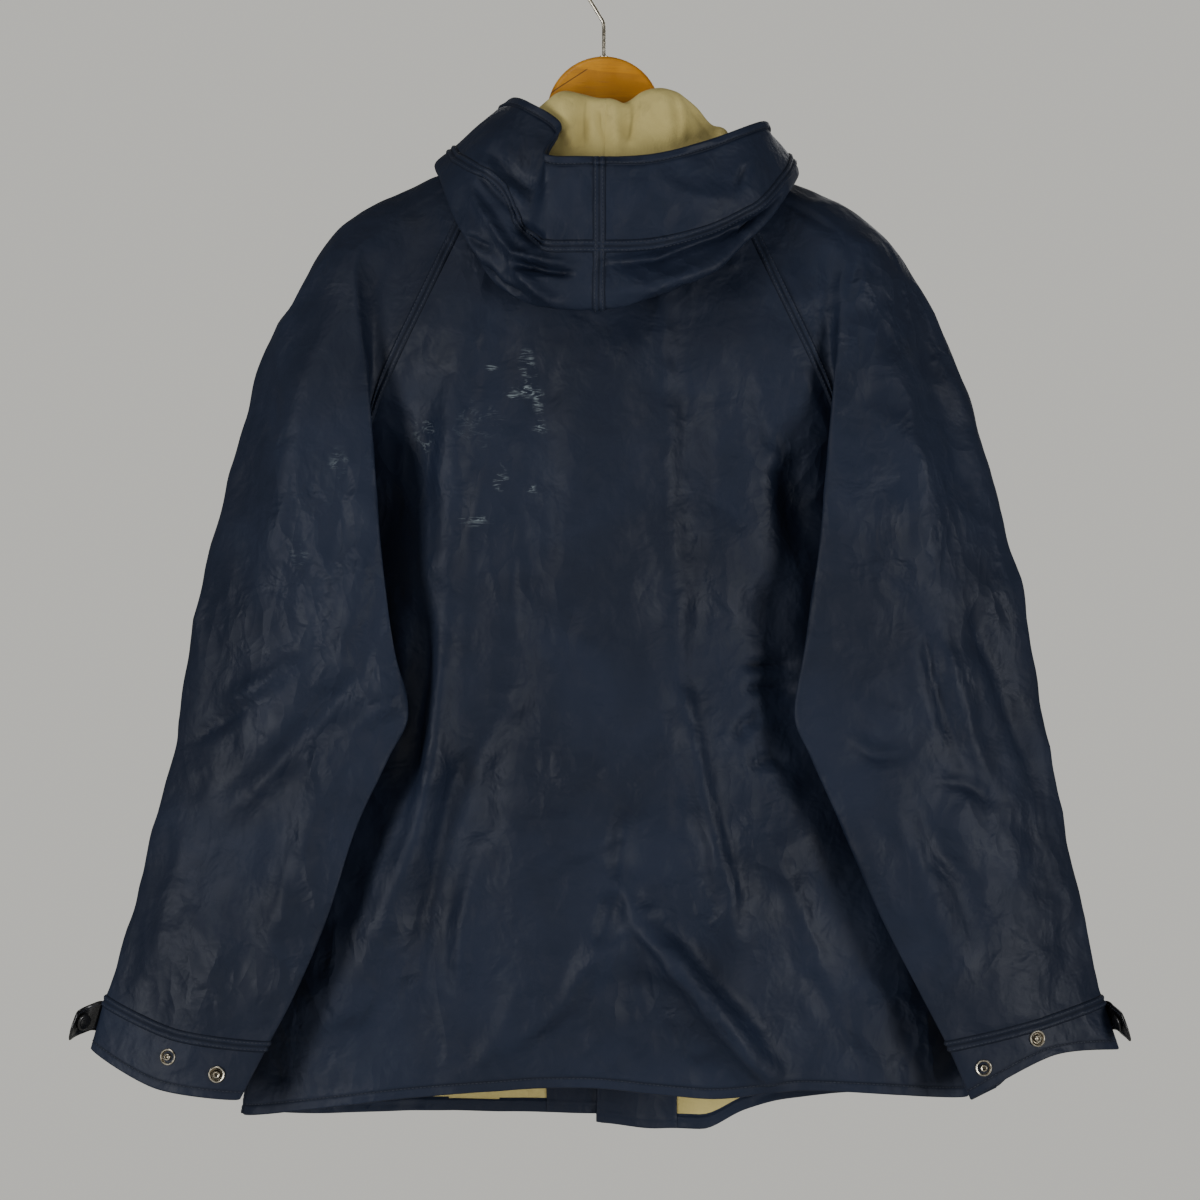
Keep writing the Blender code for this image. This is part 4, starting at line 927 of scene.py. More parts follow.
@functools.cache
def back_surface():
    """(points, normals, flip) of the back panel, as of the other surfaces that follow."""
    across = np.linspace(-1, 1, BACK_COLUMNS + 1)
    grid = np.array([back_row(s, across) for s in BODY_ROWS])
    under_hood = smooth(-250, -330, grid[..., 2])
    lift = creases_at(BACK_CREASES, grid[..., 0], grid[..., 2])
    lift = lift * fade_from(grid, first=26, last=26) * under_hood - hem_groove(grid)
    grid = crumpled(grid, normals_of(grid), lift, 1, fade_from(grid, first=20, last=20, top=20))
    return grid, normals_of(grid), False


@functools.cache
def front_surface(side):
    flip = side < 0
    grid = np.array([front_row(side, s, front_places(side, s)) for s in BODY_ROWS])
    from_centre = np.abs(grid[..., 0] - CENTRE_FRONT)
    lift = creases_at(FRONT_CREASES, grid[..., 0], grid[..., 2])
    lift = lift * fade_from(grid, first=26) * smooth(-250, -290, grid[..., 2])
    lift = lift * between(1, smooth(0, 40, from_centre), 0.85) - hem_groove(grid)
    even = fade_from(grid, first=20, top=20) * between(1, smooth(0, 60, from_centre), 0.8)
    grid = crumpled(grid, normals_of(grid, flip), lift, 3, even)
    return grid, normals_of(grid, flip), flip


@functools.cache
def arm_surface(side):
    """Sleeve and cuff in one, so that they meet."""
    flip = side < 0
    rows = np.concatenate([SLEEVE_ROWS, CUFF_ROWS[1:]])
    grid = np.array([sleeve_section(side, s) for s in rows])
    normals = normals_of(grid, flip)
    table, seed = (LEFT_SLEEVE_CREASES, 11) if side < 0 else (RIGHT_SLEEVE_CREASES, 17)
    back = creases_at(table, grid[..., 0], grid[..., 2]) * smooth(0.05, 0.45, -normals[..., 1])
    shift = SLEEVE_FRONT_SHIFT[side_name(side)]
    front = creases_at(SLEEVE_FRONT_CREASES, np.abs(grid[..., 0]) + shift, grid[..., 2] + shift)
    lift = back + front * smooth(0.05, 0.45, normals[..., 1])
    stiff = between(1, smooth(3.02, 2.9, rows), 0.8)[:, None]
    from_fold = np.abs(np.arange(grid.shape[1]) - INNER_COLUMN)
    edges = fade_from(grid, first=16, last=16) * smooth(0, 6, from_fold)
    lift = lift * edges * stiff * smooth(0.1, 0.4, rows)[:, None]
    even = edges * stiff * smooth(0.02, 0.2, rows)[:, None]
    grid = crumpled(grid, normals, lift, seed, even)
    return grid, normals_of(grid, flip), flip


def sleeve_surface(side):
    grid, normals, flip = arm_surface(side)
    return grid[:len(SLEEVE_ROWS)], normals[:len(SLEEVE_ROWS)], flip


def cuff_surface(side):
    grid, normals, flip = arm_surface(side)
    return grid[len(SLEEVE_ROWS) - 1:], normals[len(SLEEVE_ROWS) - 1:], flip


@functools.cache
def hood_surface():
    """The whole hood in one: its rows run round the neck."""
    grid = hood_rim_sunk(np.array([hood_line(k) for k in HOOD_ROWS]))
    normals = normals_of(grid)
    lift = creases_at(HOOD_CREASES, grid[..., 0], grid[..., 2]) * smooth(0.1, 0.5, -normals[..., 1])
    inner = slice(0, sum(HOOD_PARTS[:4]))
    lift[:, inner] = creases_at(LINING_CREASES, grid[:, inner, 0], grid[:, inner, 2])
    lift[:, inner] *= -smooth(0.0, 0.4, normals[:, inner, 1]) * smooth(6, 16, np.arange(inner.stop))
    lift += rolled(brim_distance(grid))
    grid = crumpled(grid, normals, lift, 23, fade_from(grid, first=12, last=6, top=8, bottom=8))
    return grid, normals_of(grid), False


def hood_rim_sunk(grid):
    """The hood with its rim, where it turns over at the neck, let down in uneven waves."""
    sunk = grid.copy()
    folded = grid[:, :sum(HOOD_PARTS[:5])]
    drop = follow(HOOD_DIP, HOOD_DIP_COLUMNS, "drop", folded[..., 0])
    from_rim = folded[..., 2] - folded[..., 2].max(axis=1, keepdims=True)
    sunk[:, :folded.shape[1], 2] -= drop * np.exp(-((from_rim / HOOD_DIP_REACH) ** 2))
    return sunk


def brim_distance(grid):
    """How far each point of the hood is from the opening's edge."""
    over = runs_over(grid)
    return over[:, -1:] - over


def rolled(away):
    """Lift of a narrow turned edge, with the groove of its stitches behind it."""
    return 0.7 * smooth(6.4, 4.6, away) - 0.5 * line_shade(away, HOOD_GROOVE, 0.9)


def hood_half(name):
    grid, normals, flip = hood_surface()
    middle = len(HOOD_LEFT_ROWS) - 1
    part = slice(0, middle + 1) if name == "left" else slice(middle, None)
    return grid[part], normals[part], flip


class Graph:
    """Adds shader nodes to a tree, links them and lays them out from left to right."""

    def __init__(self, tree):
        self.tree, self.count = tree, 0

    def add(self, kind, values=(), **settings):
        node = self.tree.nodes.new(kind)
        node.location = (self.count % 9 * 190 - 1700, 400 - self.count // 9 * 300)
        self.count += 1
        for key, value in settings.items():
            setattr(node, key, value)
        return self.fill(node, values)

    def fill(self, node, values):
        """Links a node's inputs to sockets, or sets them."""
        for socket, value in dict(values).items():
            if isinstance(value, bpy.types.NodeSocket):
                self.tree.links.new(value, node.inputs[socket])
            else:
                node.inputs[socket].default_value = value
        return node

    def math(self, operation, a, b=0.0, c=0.0):
        return self.add("ShaderNodeMath", {0: a, 1: b, 2: c}, operation=operation).outputs[0]

    def times(self, a, b):
        return self.math("MULTIPLY", a, b)

    def off_middle(self, value):
        """How far a value is from 0.5."""
        return self.math("ABSOLUTE", self.math("SUBTRACT", value, 0.5))

    def vectors(self, operation, a, b=(0, 0, 0)):
        return self.add("ShaderNodeVectorMath", {0: a, 1: b}, operation=operation).outputs

    def step(self, value, low, high, start=0.0, end=1.0):
        """A soft step from start at low to end at high."""
        values = {"Value": value, "From Min": low, "From Max": high, "To Min": start, "To Max": end}
        return self.add("ShaderNodeMapRange", values, interpolation_type="SMOOTHSTEP").outputs[0]

    def colour(self, share, a, b):
        return self.add("ShaderNodeMix", {0: share, 6: a, 7: b}, data_type="RGBA").outputs[2]

    def noise(self, vector, scale, detail=3.0, rough=0.5, bend=0.0):
        values = {"Vector": vector, "Scale": scale, "Detail": detail, "Roughness": rough, "Distortion": bend}
        return self.add("ShaderNodeTexNoise", values).outputs["Fac"]

    def moved(self, vector, turn=(0, 0, 0), scale=(1, 1, 1), place=(0, 0, 0)):
        values = {"Vector": vector, "Rotation": turn, "Scale": scale, "Location": place}
        return self.add("ShaderNodeMapping", values).outputs[0]

    def bump(self, strength, distance, height, **more):
        values = {"Strength": strength, "Distance": distance, "Height": height, **more}
        return self.add("ShaderNodeBump", values).outputs[0]

    def painted_shade_and_grime(self):
        """How dark each point's groove is: painted shade, and on the studs grime as well."""
        return self.add("ShaderNodeAttribute", attribute_name="painted_shade_and_grime").outputs["Fac"]

    def use(self, name, values):
        """Places a node group with its values."""
        return self.fill(self.add("ShaderNodeGroup", node_tree=bpy.data.node_groups[name]), values).outputs

    def tone(self, place, size, light, dark, dirt=(0, 0, 0), amount=0.0):
        """Slow changes between two colours, with an amount of dirt."""
        return self.use("uneven_tone", {
            "Vector": place, "Size": size, "Light": (*light, 1), "Dark": (*dark, 1),
            "Dirt": (*dirt, 1), "Dirt Amount": amount,
        })


def effect(name, inputs, outputs):
    """A new shader node group: its graph, its input sockets and a function that links its outputs."""
    tree = bpy.data.node_groups.new(name, "ShaderNodeTree")
    for label, (kind, value) in inputs.items():
        socket = tree.interface.new_socket(label, in_out="INPUT", socket_type=kind)
        if value is not None:
            socket.default_value = value
    for label, kind in outputs.items():
        tree.interface.new_socket(label, in_out="OUTPUT", socket_type=kind)
    graph = Graph(tree)
    start, end = graph.add("NodeGroupInput"), graph.add("NodeGroupOutput")
    return graph, start.outputs, lambda label, socket: tree.links.new(socket, end.inputs[label])


NUMBER, VECTOR, COLOUR = "NodeSocketFloat", "NodeSocketVector", "NodeSocketColor"


def make_uneven_tone():
    """Slow changes of tone over a surface, with some dirt in the hollows of the pattern."""
    graph, start, out = effect("uneven_tone", {
        "Vector": (VECTOR, None), "Size": (NUMBER, 6.0), "Light": (COLOUR, (1, 1, 1, 1)),
        "Dark": (COLOUR, (0, 0, 0, 1)), "Dirt": (COLOUR, (0, 0, 0, 1)), "Dirt Amount": (NUMBER, 0.0),
    }, {"Color": COLOUR, "Value": NUMBER})
    broad = graph.noise(start["Vector"], start["Size"], 4.0, 0.55, 0.4)
    tone = graph.colour(graph.step(broad, 0.32, 0.68), start["Dark"], start["Light"])
    fine = graph.noise(start["Vector"], graph.times(start["Size"], 5.0), 5.0, 0.7, 0.8)
    dirt = graph.times(graph.step(fine, 0.5, 0.78), start["Dirt Amount"])
    out("Color", graph.colour(dirt, tone, start["Dirt"]))
    out("Value", broad)


def make_scuffs():
    """A patch of short pale scratches round a place, thin and broken, with a fainter rub under them."""
    graph, start, out = effect("scuffs", {
        "Vector": (VECTOR, None), "Place": (VECTOR, (0, 0, 0)), "Reach": (VECTOR, (0.02, 0.1, 0.03)),
        "Amount": (NUMBER, 1.0), "Size": (NUMBER, 90.0),
    }, {"Mask": NUMBER, "Rub": NUMBER})
    away = graph.vectors("SUBTRACT", start["Vector"], start["Place"])[0]
    far = graph.vectors("LENGTH", graph.vectors("DIVIDE", away, start["Reach"])[0])["Value"]
    worn = graph.noise(start["Vector"], graph.times(start["Size"], 0.4), 4.0, 0.6, 0.6)
    edge = graph.math("ADD", far, graph.math("MULTIPLY_ADD", worn, 1.6, -0.8))
    region = graph.step(edge, 1.0, 0.35)
    slanted = graph.moved(start["Vector"], (0, 0.45, 0), (0.3, 1, 1.6))
    vein = graph.noise(slanted, start["Size"], 3.0, 0.55, 1.2)
    line = graph.step(graph.off_middle(vein), 0.045, 0.006)
    broken = graph.step(graph.noise(start["Vector"], graph.times(start["Size"], 0.8), 3.0), 0.38, 0.58)
    mask = graph.times(graph.times(line, broken), region)
    out("Mask", graph.times(mask, start["Amount"]))
    rub = graph.times(region, graph.step(worn, 0.5, 0.75))
    out("Rub", graph.times(rub, start["Amount"]))


def make_weave():
    """Plain weave on the cloth's own map, in metres: height, and the painted shade between its threads, a little
    darker on slubs.
    """
    graph, start, out = effect("plain_weave", {
        "Vector": (VECTOR, None), "Pitch": (NUMBER, 0.001), "Slub": (NUMBER, 0.5),
    }, {"Height": NUMBER, "Shade": NUMBER})
    wobble = graph.noise(start["Vector"], 120.0, 2.0)
    parts = graph.add("ShaderNodeSeparateXYZ", {0: start["Vector"]}).outputs
    turns = graph.math("DIVIDE", math.pi, start["Pitch"])
    waves = []
    for part in parts[:2]:
        place = graph.math("ADD", part, graph.times(wobble, graph.times(start["Pitch"], 0.8)))
        wave = graph.math("ABSOLUTE", graph.math("SINE", graph.times(place, turns)))
        waves.append(graph.math("POWER", wave, 0.6))
    height = graph.times(*waves)
    slubs = graph.noise(graph.moved(start["Vector"], scale=(0.12, 1, 1)), 900.0, 2.0)
    out("Height", graph.math("ADD", height, graph.times(slubs, start["Slub"])))
    out("Shade", graph.times(graph.step(height, 0.0, 0.7), graph.step(slubs, 0.75, 0.35, 0.8)))


FACETS = (  # turn, stretch, share of the crinkle's size, height
    ((0, 0.7, 0.2), (1, 1, 0.4), 0.8, 0.6),
    ((0, -0.5, 0.1), (1, 1, 0.55), 1.7, 0.35),
)


def make_crinkle():
    """The small dents, wrinkles and sharp-edged facets of crumpled coated cloth, as a height."""
    graph, start, out = effect("crinkle", {
        "Vector": (VECTOR, None), "Size": (NUMBER, 40.0),
    }, {"Height": NUMBER})
    dents = graph.noise(start["Vector"], start["Size"], 3.0, 0.5, 0.3)
    folds = graph.noise(graph.moved(start["Vector"], (0.3, 0.6, 0.2), (1, 1, 0.6)),
                        graph.times(start["Size"], 0.6), 2.0, 0.45, 0.5)
    height = graph.math("MULTIPLY_ADD", dents, 0.45, graph.times(graph.off_middle(folds), -0.5))
    worn = graph.step(graph.noise(start["Vector"], graph.times(start["Size"], 0.18), 2.0), 0.4, 0.64)
    bent = graph.vectors("ADD", start["Vector"], graph.times(dents, 0.016))[0]
    for turn, stretch, size, amount in FACETS:
        cells = graph.add("ShaderNodeTexVoronoi", {
            "Vector": graph.moved(bent, turn, stretch), "Scale": graph.times(start["Size"], size),
        }).outputs["Distance"]
        height = graph.math("ADD", height, graph.times(graph.times(cells, amount), worn))
    out("Height", height)


def material(name):
    """A new material, with its graph, its Principled shader and the place on the object."""
    if "uneven_tone" not in bpy.data.node_groups:
        make_uneven_tone()
        make_scuffs()
        make_weave()
        make_crinkle()
    found = bpy.data.materials.new(name)
    found.use_nodes = True
    graph = Graph(found.node_tree)
    place = graph.add("ShaderNodeTexCoord").outputs["Object"]
    return found, graph, found.node_tree.nodes["Principled BSDF"], place


SCUFFS = (  # place (x, y, z), reach, amount, in metres
    ((-0.064, -0.07, -0.356), (0.009, 0.06, 0.017), 1.0),
    ((-0.069, -0.07, -0.379), (0.017, 0.06, 0.007), 1.0),
    ((-0.054, -0.07, -0.383), (0.007, 0.06, 0.015), 0.9),
    ((-0.052, -0.07, -0.409), (0.010, 0.06, 0.008), 1.0),
    ((-0.094, -0.07, -0.358), (0.007, 0.06, 0.004), 0.9),
    ((-0.104, -0.07, -0.404), (0.024, 0.06, 0.026), 0.15),
    ((-0.087, -0.07, -0.450), (0.008, 0.06, 0.014), 0.8),
    ((-0.058, -0.07, -0.459), (0.010, 0.06, 0.005), 0.9),
    ((-0.110, -0.07, -0.487), (0.018, 0.06, 0.005), 0.7),
    ((-0.153, -0.07, -0.413), (0.014, 0.06, 0.016), 0.45),
    ((-0.222, -0.10, -0.438), (0.012, 0.06, 0.016), 0.5),
    ((-0.256, -0.10, -0.510), (0.010, 0.06, 0.020), 0.5),
)


# Painted shade for the grooves of seams, hems and rows of stitches
PAINTED_GROOVE_SHADE = (0.002, 0.003, 0.005, 1)
GRIME_AND_PAINTED_SHADE = (0.055, 0.045, 0.030, 1)  # painted shade and grime in the studs' hollows
TARNISH = (0.10, 0.08, 0.06)
STRAP_SHADE = (0.004, 0.004, 0.005)
JOINT_COLOUR = (0.05, 0.02, 0.008, 1)


def make_navy(colours):
    found, graph, shader, place = material("navy_coating")
    cloth = graph.add("ShaderNodeUVMap", uv_map="cloth").outputs[0]
    tone = graph.tone(place, 7.0, colours.navy, colours.navy_shade, colours.dust, 0.05)
    mask = rub = None
    for spot, reach, amount in SCUFFS:
        marks = graph.use("scuffs", {
            "Vector": place, "Place": spot, "Reach": reach, "Amount": amount, "Size": 110.0,
        })
        mask = marks["Mask"] if mask is None else graph.math("MAXIMUM", mask, marks["Mask"])
        rub = marks["Rub"] if rub is None else graph.math("MAXIMUM", rub, marks["Rub"])
    colour = graph.colour(graph.times(rub, 0.07), tone["Color"], (*colours.scuff, 1))
    colour = graph.colour(graph.times(mask, 0.36), colour, (*colours.scuff, 1))
    # Painted shade: the cloth is darkened in the grooves of its seams, hems and rows of stitches
    painted_shade_and_grime = graph.painted_shade_and_grime()
    colour = graph.colour(graph.times(painted_shade_and_grime, 0.45), colour, PAINTED_GROOVE_SHADE)
    haze = graph.noise(place, 14.0, 5.0, 0.62, 0.5)
    rough = graph.step(haze, 0.3, 0.7, 0.50, 0.64)
    rough = graph.math("ADD", rough, graph.times(graph.math("MAXIMUM", mask, painted_shade_and_grime), 0.25))
    weave = graph.use("plain_weave", {"Vector": cloth, "Pitch": 0.0011, "Slub": 0.3})
    crinkle = graph.use("crinkle", {"Vector": place, "Size": 34.0})
    fine = graph.bump(0.10, 0.00012, weave["Height"])
    bump = graph.bump(1.0, 0.0085, crinkle["Height"], Normal=fine)
    graph.fill(shader, {"Specular IOR Level": 0.2, "Base Color": colour, "Roughness": rough, "Normal": bump})
    return found


def make_cream(colours):
    found, graph, shader, place = material("cream_backing")
    cloth = graph.add("ShaderNodeUVMap", uv_map="cloth").outputs[0]
    tone = graph.tone(place, 11.0, colours.cream, colours.cream_shade, colours.stain, 0.5)
    weave = graph.use("plain_weave", {"Vector": cloth, "Pitch": 0.0012, "Slub": 0.6})
    # Painted shade between the threads of the weave, with darker slubs
    colour = graph.colour(graph.math("MULTIPLY_ADD", weave["Shade"], -0.28, 0.28), tone["Color"],
                          (*colours.cream_shade, 1))
    crinkle = graph.use("crinkle", {"Vector": place, "Size": 34.0})
    fine = graph.bump(0.6, 0.0003, weave["Height"])
    bump = graph.bump(1.0, 0.0070, crinkle["Height"], Normal=fine)
    rough = graph.step(weave["Height"], 0.0, 1.2, 0.95, 0.82)
    graph.fill(shader, {"Specular IOR Level": 0.1, "Base Color": colour, "Roughness": rough, "Normal": bump})
    return found


def make_strap(colours):
    found, graph, shader, place = material("black_strap")
    tone = graph.tone(place, 60.0, colours.strap, STRAP_SHADE, colours.dust, 0.12)
    crinkle = graph.use("crinkle", {"Vector": place, "Size": 160.0})
    bump = graph.bump(0.3, 0.0008, crinkle["Height"])
    rough = graph.step(tone["Value"], 0.3, 0.7, 0.16, 0.34)
    graph.fill(shader, {"Base Color": tone["Color"], "Roughness": rough, "Normal": bump})
    return found


def make_thread(colours):
    found, graph, shader, place = material("navy_thread")
    tone = graph.tone(place, 300.0, colours.thread, colours.navy_shade, colours.dust, 0.2)
    twist = graph.noise(graph.moved(place, (0.4, 0.7, 0.2), (3, 1, 1)), 1800.0, 2.0)
    graph.fill(shader, {
        "Base Color": tone["Color"], "Roughness": 0.7, "Normal": graph.bump(0.5, 0.0001, twist),
    })
    return found


def make_steel(colours):
    found, graph, shader, place = material("plated_steel")
    tone = graph.tone(place, 180.0, colours.steel, colours.steel_shade, TARNISH, 0.4)
    # Painted shade and grime: the studs are darkened in their hollows
    colour = graph.colour(graph.times(graph.painted_shade_and_grime(), 0.9), tone["Color"], GRIME_AND_PAINTED_SHADE)
    scratch = graph.noise(graph.moved(place, (0.2, 0.3, 0.8), (1, 1, 9)), 900.0, 3.0)
    bump = graph.bump(0.25, 0.00008, scratch)
    rough = graph.step(graph.noise(place, 420.0, 4.0), 0.3, 0.7, 0.14, 0.36)
    graph.fill(shader, {"Metallic": 1.0, "Base Color": colour, "Roughness": rough, "Normal": bump})
    return found


def make_wood(colours):
    found, graph, shader, place = material("varnished_wood")
    lengthwise = graph.moved(place, (0, math.radians(12), 0), (2.2, 30, 34), (0.03, 0, 0.11))
    figure = graph.noise(lengthwise, 1.0, 4.0, 0.55, 1.2)
    rings = graph.math("FRACT", graph.times(figure, 7.0))
    line = graph.times(graph.step(rings, 0.0, 0.75), graph.step(rings, 1.0, 0.85))
    pores = graph.step(graph.noise(graph.moved(place, (0, math.radians(12), 0), (60, 900, 1300)), 1.0, 2.0),
                       0.60, 0.72)
    tone = graph.tone(place, 16.0, colours.wood, colours.wood_shade, colours.wood_line, 0.2)
    colour = graph.colour(graph.times(line, 0.38), tone["Color"], (*colours.wood_line, 1))
    colour = graph.colour(graph.times(pores, 0.35), colour, (*colours.wood_line, 1))
    parts = graph.add("ShaderNodeSeparateXYZ", {0: graph.moved(place, (0, math.radians(33), 0))}).outputs
    joint = graph.step(graph.math("ABSOLUTE", graph.math("ADD", parts[2], JOINT_OFFSET)), 0.0007, 0.0002)
    joint = graph.times(joint, graph.step(parts[0], JOINT_END, JOINT_END - 0.002))
    colour = graph.colour(graph.times(joint, 0.8), colour, JOINT_COLOUR)
    height = graph.math("SUBTRACT", graph.times(line, -0.3), graph.math("ADD", joint, pores))
    rough = graph.step(tone["Value"], 0.3, 0.7, 0.28, 0.42)
    graph.fill(shader, {
        "Coat Weight": 0.08, "Coat Roughness": 0.2, "Specular IOR Level": 0.22,
        "Base Color": colour, "Roughness": rough, "Normal": graph.bump(0.35, 0.0002, height),
    })
    return found


def look(name):
    """One of the jacket's materials, made when it is first asked for."""
    makers = {
        "navy_coating": make_navy, "cream_backing": make_cream, "black_strap": make_strap,
        "navy_thread": make_thread, "plated_steel": make_steel, "varnished_wood": make_wood,
    }
    return bpy.data.materials.get(name) or makers[name](bpy.context.scene.jacket_colours)


def show(piece, slot, *nodes):
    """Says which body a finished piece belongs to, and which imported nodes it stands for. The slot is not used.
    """
    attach(piece, "root")
    if nodes:
        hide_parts(*nodes)
    return piece


def side_name(side):
    return "left" if side < 0 else "right"


class JACKET_OT_back(bpy.types.Operator):
    """The back panel, with its turned-up hem"""
    bl_idname = "jacket.back"
    bl_label = "Back panel"

    def execute(self, context):
        grid, normals, flip = back_surface()
        turned, depth = turned_hem(grid)
        looks = look("navy_coating"), look("cream_backing")
        shade = line_shade(hem_distance(grid), HEM_STITCH)
        piece = shell("jacket_back", grid, normals, flip, depth, looks, turned, shade)
        show(piece, "navy", "back")
        return {"FINISHED"}


def turned_hem(grid):
    """(mask, thickness) of a panel whose lower edge is turned in and sewn."""
    cloth = bpy.context.scene.jacket_sizes.cloth / MM
    away = hem_distance(grid)
    return away < HEM_WIDTH, cloth + HEM_FOLD * smooth(HEM_WIDTH + 1.5, HEM_WIDTH - 0.5, away)


class JACKET_OT_fronts(bpy.types.Operator):
    """The two overlapping fronts, with their facings inside"""
    bl_idname = "jacket.fronts"
    bl_label = "Fronts and facings"

    def execute(self, context):
        navy, cream = look("navy_coating"), look("cream_backing")
        for side in (-1, 1):
            name = side_name(side)
            grid, normals, flip = front_surface(side)
            turned, depth = turned_hem(grid)
            shade = line_shade(hem_distance(grid), HEM_STITCH)
            piece = shell(f"jacket_front_{name}", grid, normals, flip, depth, (navy, cream), turned, shade)
            show(piece, "navy", f"front_{name}")
            edge, ups = grid[:, FRONT_COLUMNS:], normals[:, FRONT_COLUMNS:]
            facing = shell(f"jacket_facing_{name}", edge - ups * FACING_DEPTH, ups, flip, FACING_THICK, (navy,))
            show(facing, "navy", f"facing_{name}")
        return {"FINISHED"}


class JACKET_OT_sleeves(bpy.types.Operator):
    """The raglan sleeves and their doubled cuffs"""
    bl_idname = "jacket.sleeves"
    bl_label = "Sleeves and cuffs"

    def execute(self, context):
        navy, cream = look("navy_coating"), look("cream_backing")
        cloth = context.scene.jacket_sizes.cloth / MM
        for side in (-1, 1):
            name = side_name(side)
            grid, normals, flip = sleeve_surface(side)
            turned = np.zeros(grid.shape[:2], bool)
            turned[:, :INNER_COLUMN + SLEEVE_TURNED] = True
            sleeve = shell(f"jacket_sleeve_{name}", grid, normals, flip, cloth, (navy, cream), turned)
            show(sleeve, "navy", f"sleeve_{name}")
            grid, normals, flip = cuff_surface(side)
            shade = line_shade(hem_distance(grid), CUFF_STITCH)
            cuff = shell(f"jacket_cuff_{name}", grid, normals, flip, CUFF_THICK, (navy,), None, shade)
            show(cuff, "navy", f"cuff_{name}")
        return {"FINISHED"}


class JACKET_OT_hood(bpy.types.Operator):
    """The dropped hood in two halves, each with its crown and its doubled brim"""
    bl_idname = "jacket.hood"
    bl_label = "Hood"

    def execute(self, context):
        navy, cream = look("navy_coating"), look("cream_backing")
        cloth = context.scene.jacket_sizes.cloth / MM
        for name in ("left", "right"):
            grid, normals, flip = hood_half(name)
            away = brim_distance(grid)
            depth, shade = cloth + BRIM_FOLD * smooth(HOOD_GROOVE, 5.2, away), line_shade(away, HOOD_GROOVE)
            for part, c, looks in (
                ("crown", slice(0, CROWN_COLUMNS + 1), (navy, cream)),
                ("brim", slice(CROWN_COLUMNS, None), (navy,)),
            ):
                piece = shell(f"jacket_hood_{part}_{name}", grid[:, c], normals[:, c], flip, depth[:, c], looks,
                              None, shade[:, c])
                show(piece, "navy", f"hood_{part}_{name}")
        return {"FINISHED"}


def seam_lines():
    """The raised seams by name: (lines over the first panel, lines over the second one, flip)."""
    back, armpit, reach = back_surface()[0], len(OPEN_ROWS) - 1, SEAM_REACH
    found = {}
    for side in (-1, 1):
        name = side_name(side)
        sleeve, front, cuff = sleeve_surface(side)[0], front_surface(side)[0], cuff_surface(side)[0]
        at_back, at_front = sleeve[:, :reach], sleeve[:, :-reach - 1:-1]
        back_rows = back[:, :reach] if side < 0 else back[:, :-reach - 1:-1]
        found[f"raglan_back_{name}"] = back_rows[:armpit + 1], at_back[:armpit + 1], side < 0
        found[f"raglan_front_{name}"] = front[:armpit + 1, :reach], at_front[:armpit + 1], side > 0
        found[f"side_{name}"] = back_rows[armpit:], front[armpit:, :reach], side < 0
        found[f"underarm_{name}"] = at_back[armpit + 6:], at_front[armpit + 6:], side > 0
        found[f"cuff_{name}"] = sleeve[:-reach - 1:-1].swapaxes(0, 1), cuff.swapaxes(0, 1), side > 0
    left, right, whole = hood_half("left")[0], hood_half("right")[0], hood_surface()[0]
    found["hood_centre"] = left[:-reach - 1:-1].swapaxes(0, 1), right[:reach].swapaxes(0, 1), True
    found["hood_brim"] = (
        whole[:, CROWN_COLUMNS:CROWN_COLUMNS - reach:-1], whole[:, CROWN_COLUMNS:CROWN_COLUMNS + reach], False
    )
    necks = [follow(HOOD, HOOD_COLUMNS, "neck", k) for k in HOOD_ROWS[1:-1:2]]
    below = np.array([[neckline(neck, s) for s in (0.0, 0.012, 0.024, 0.036)] for neck in necks])
    found["neck"] = below, whole[1:-1:2, :6], False
    return found


class JACKET_OT_seams(bpy.types.Operator):
    """The raised double-stitched seams"""
    bl_idname = "jacket.seams"
    bl_label = "Seams"

    def execute(self, context):
        sewn = {}
        for name, (lines_a, lines_b, flip) in seam_lines().items():
            piece, stitched = seam(f"seam_{name}", lines_a, lines_b, flip, look("navy_coating"))
            show(piece, "navy")
            group = name.rsplit("_", 1)[0] if name.endswith(("left", "right")) else name
            sewn.setdefault(group, []).extend(stitched)
        for group, lines in sewn.items():
            show(sew(f"stitches_{group}", lines, look("navy_thread")), "navy")
        return {"FINISHED"}


class JACKET_OT_edges(bpy.types.Operator):
    """The rows of stitches along hems, cuffs, front edges and the hood's opening"""
    bl_idname = "jacket.edges"
    bl_label = "Edge stitches"

    def execute(self, context):
        lines = {"hems": [], "front_edges": [], "cuff_edges": [], "hood_edge": []}
        hem = -1 - int(np.argmin(np.abs(HEM_STEPS[::-1] - HEM_STITCH)))
        for grid, normals, _ in (back_surface(), front_surface(-1), front_surface(1)):
            lines["hems"].append((grid[hem], normals[hem]))
        for side in (-1, 1):
            grid, normals, _ = front_surface(side)
            for inset in (EDGE_STITCH, FACING_WIDTH - FACING_STITCH):
                lines["front_edges"].append(inner_line(grid[:, ::-1], normals[:, ::-1], inset))
            grid, normals, _ = cuff_surface(side)
            lines["cuff_edges"].append(
                inner_line(grid[::-1].swapaxes(0, 1), normals[::-1].swapaxes(0, 1), CUFF_STITCH)
            )
        grid, normals, _ = hood_surface()
        lines["hood_edge"].append(inner_line(grid[:, ::-1], normals[:, ::-1], HOOD_STITCH))
        for name, rows in lines.items():
            show(sew(f"stitches_{name}", rows, look("navy_thread")), "navy")
        return {"FINISHED"}


def inner_line(grid, normals, inset):
    """(points, normals) of the line that runs at a distance from the first column."""
    points, ups = [], []
    for row, up in zip(grid, normals):
        points.append(along(row, inset))
        ups.append(at_places(inset, run_of(row), up))
    return np.array(points) + np.array(ups) * 0.1, np.array(ups)


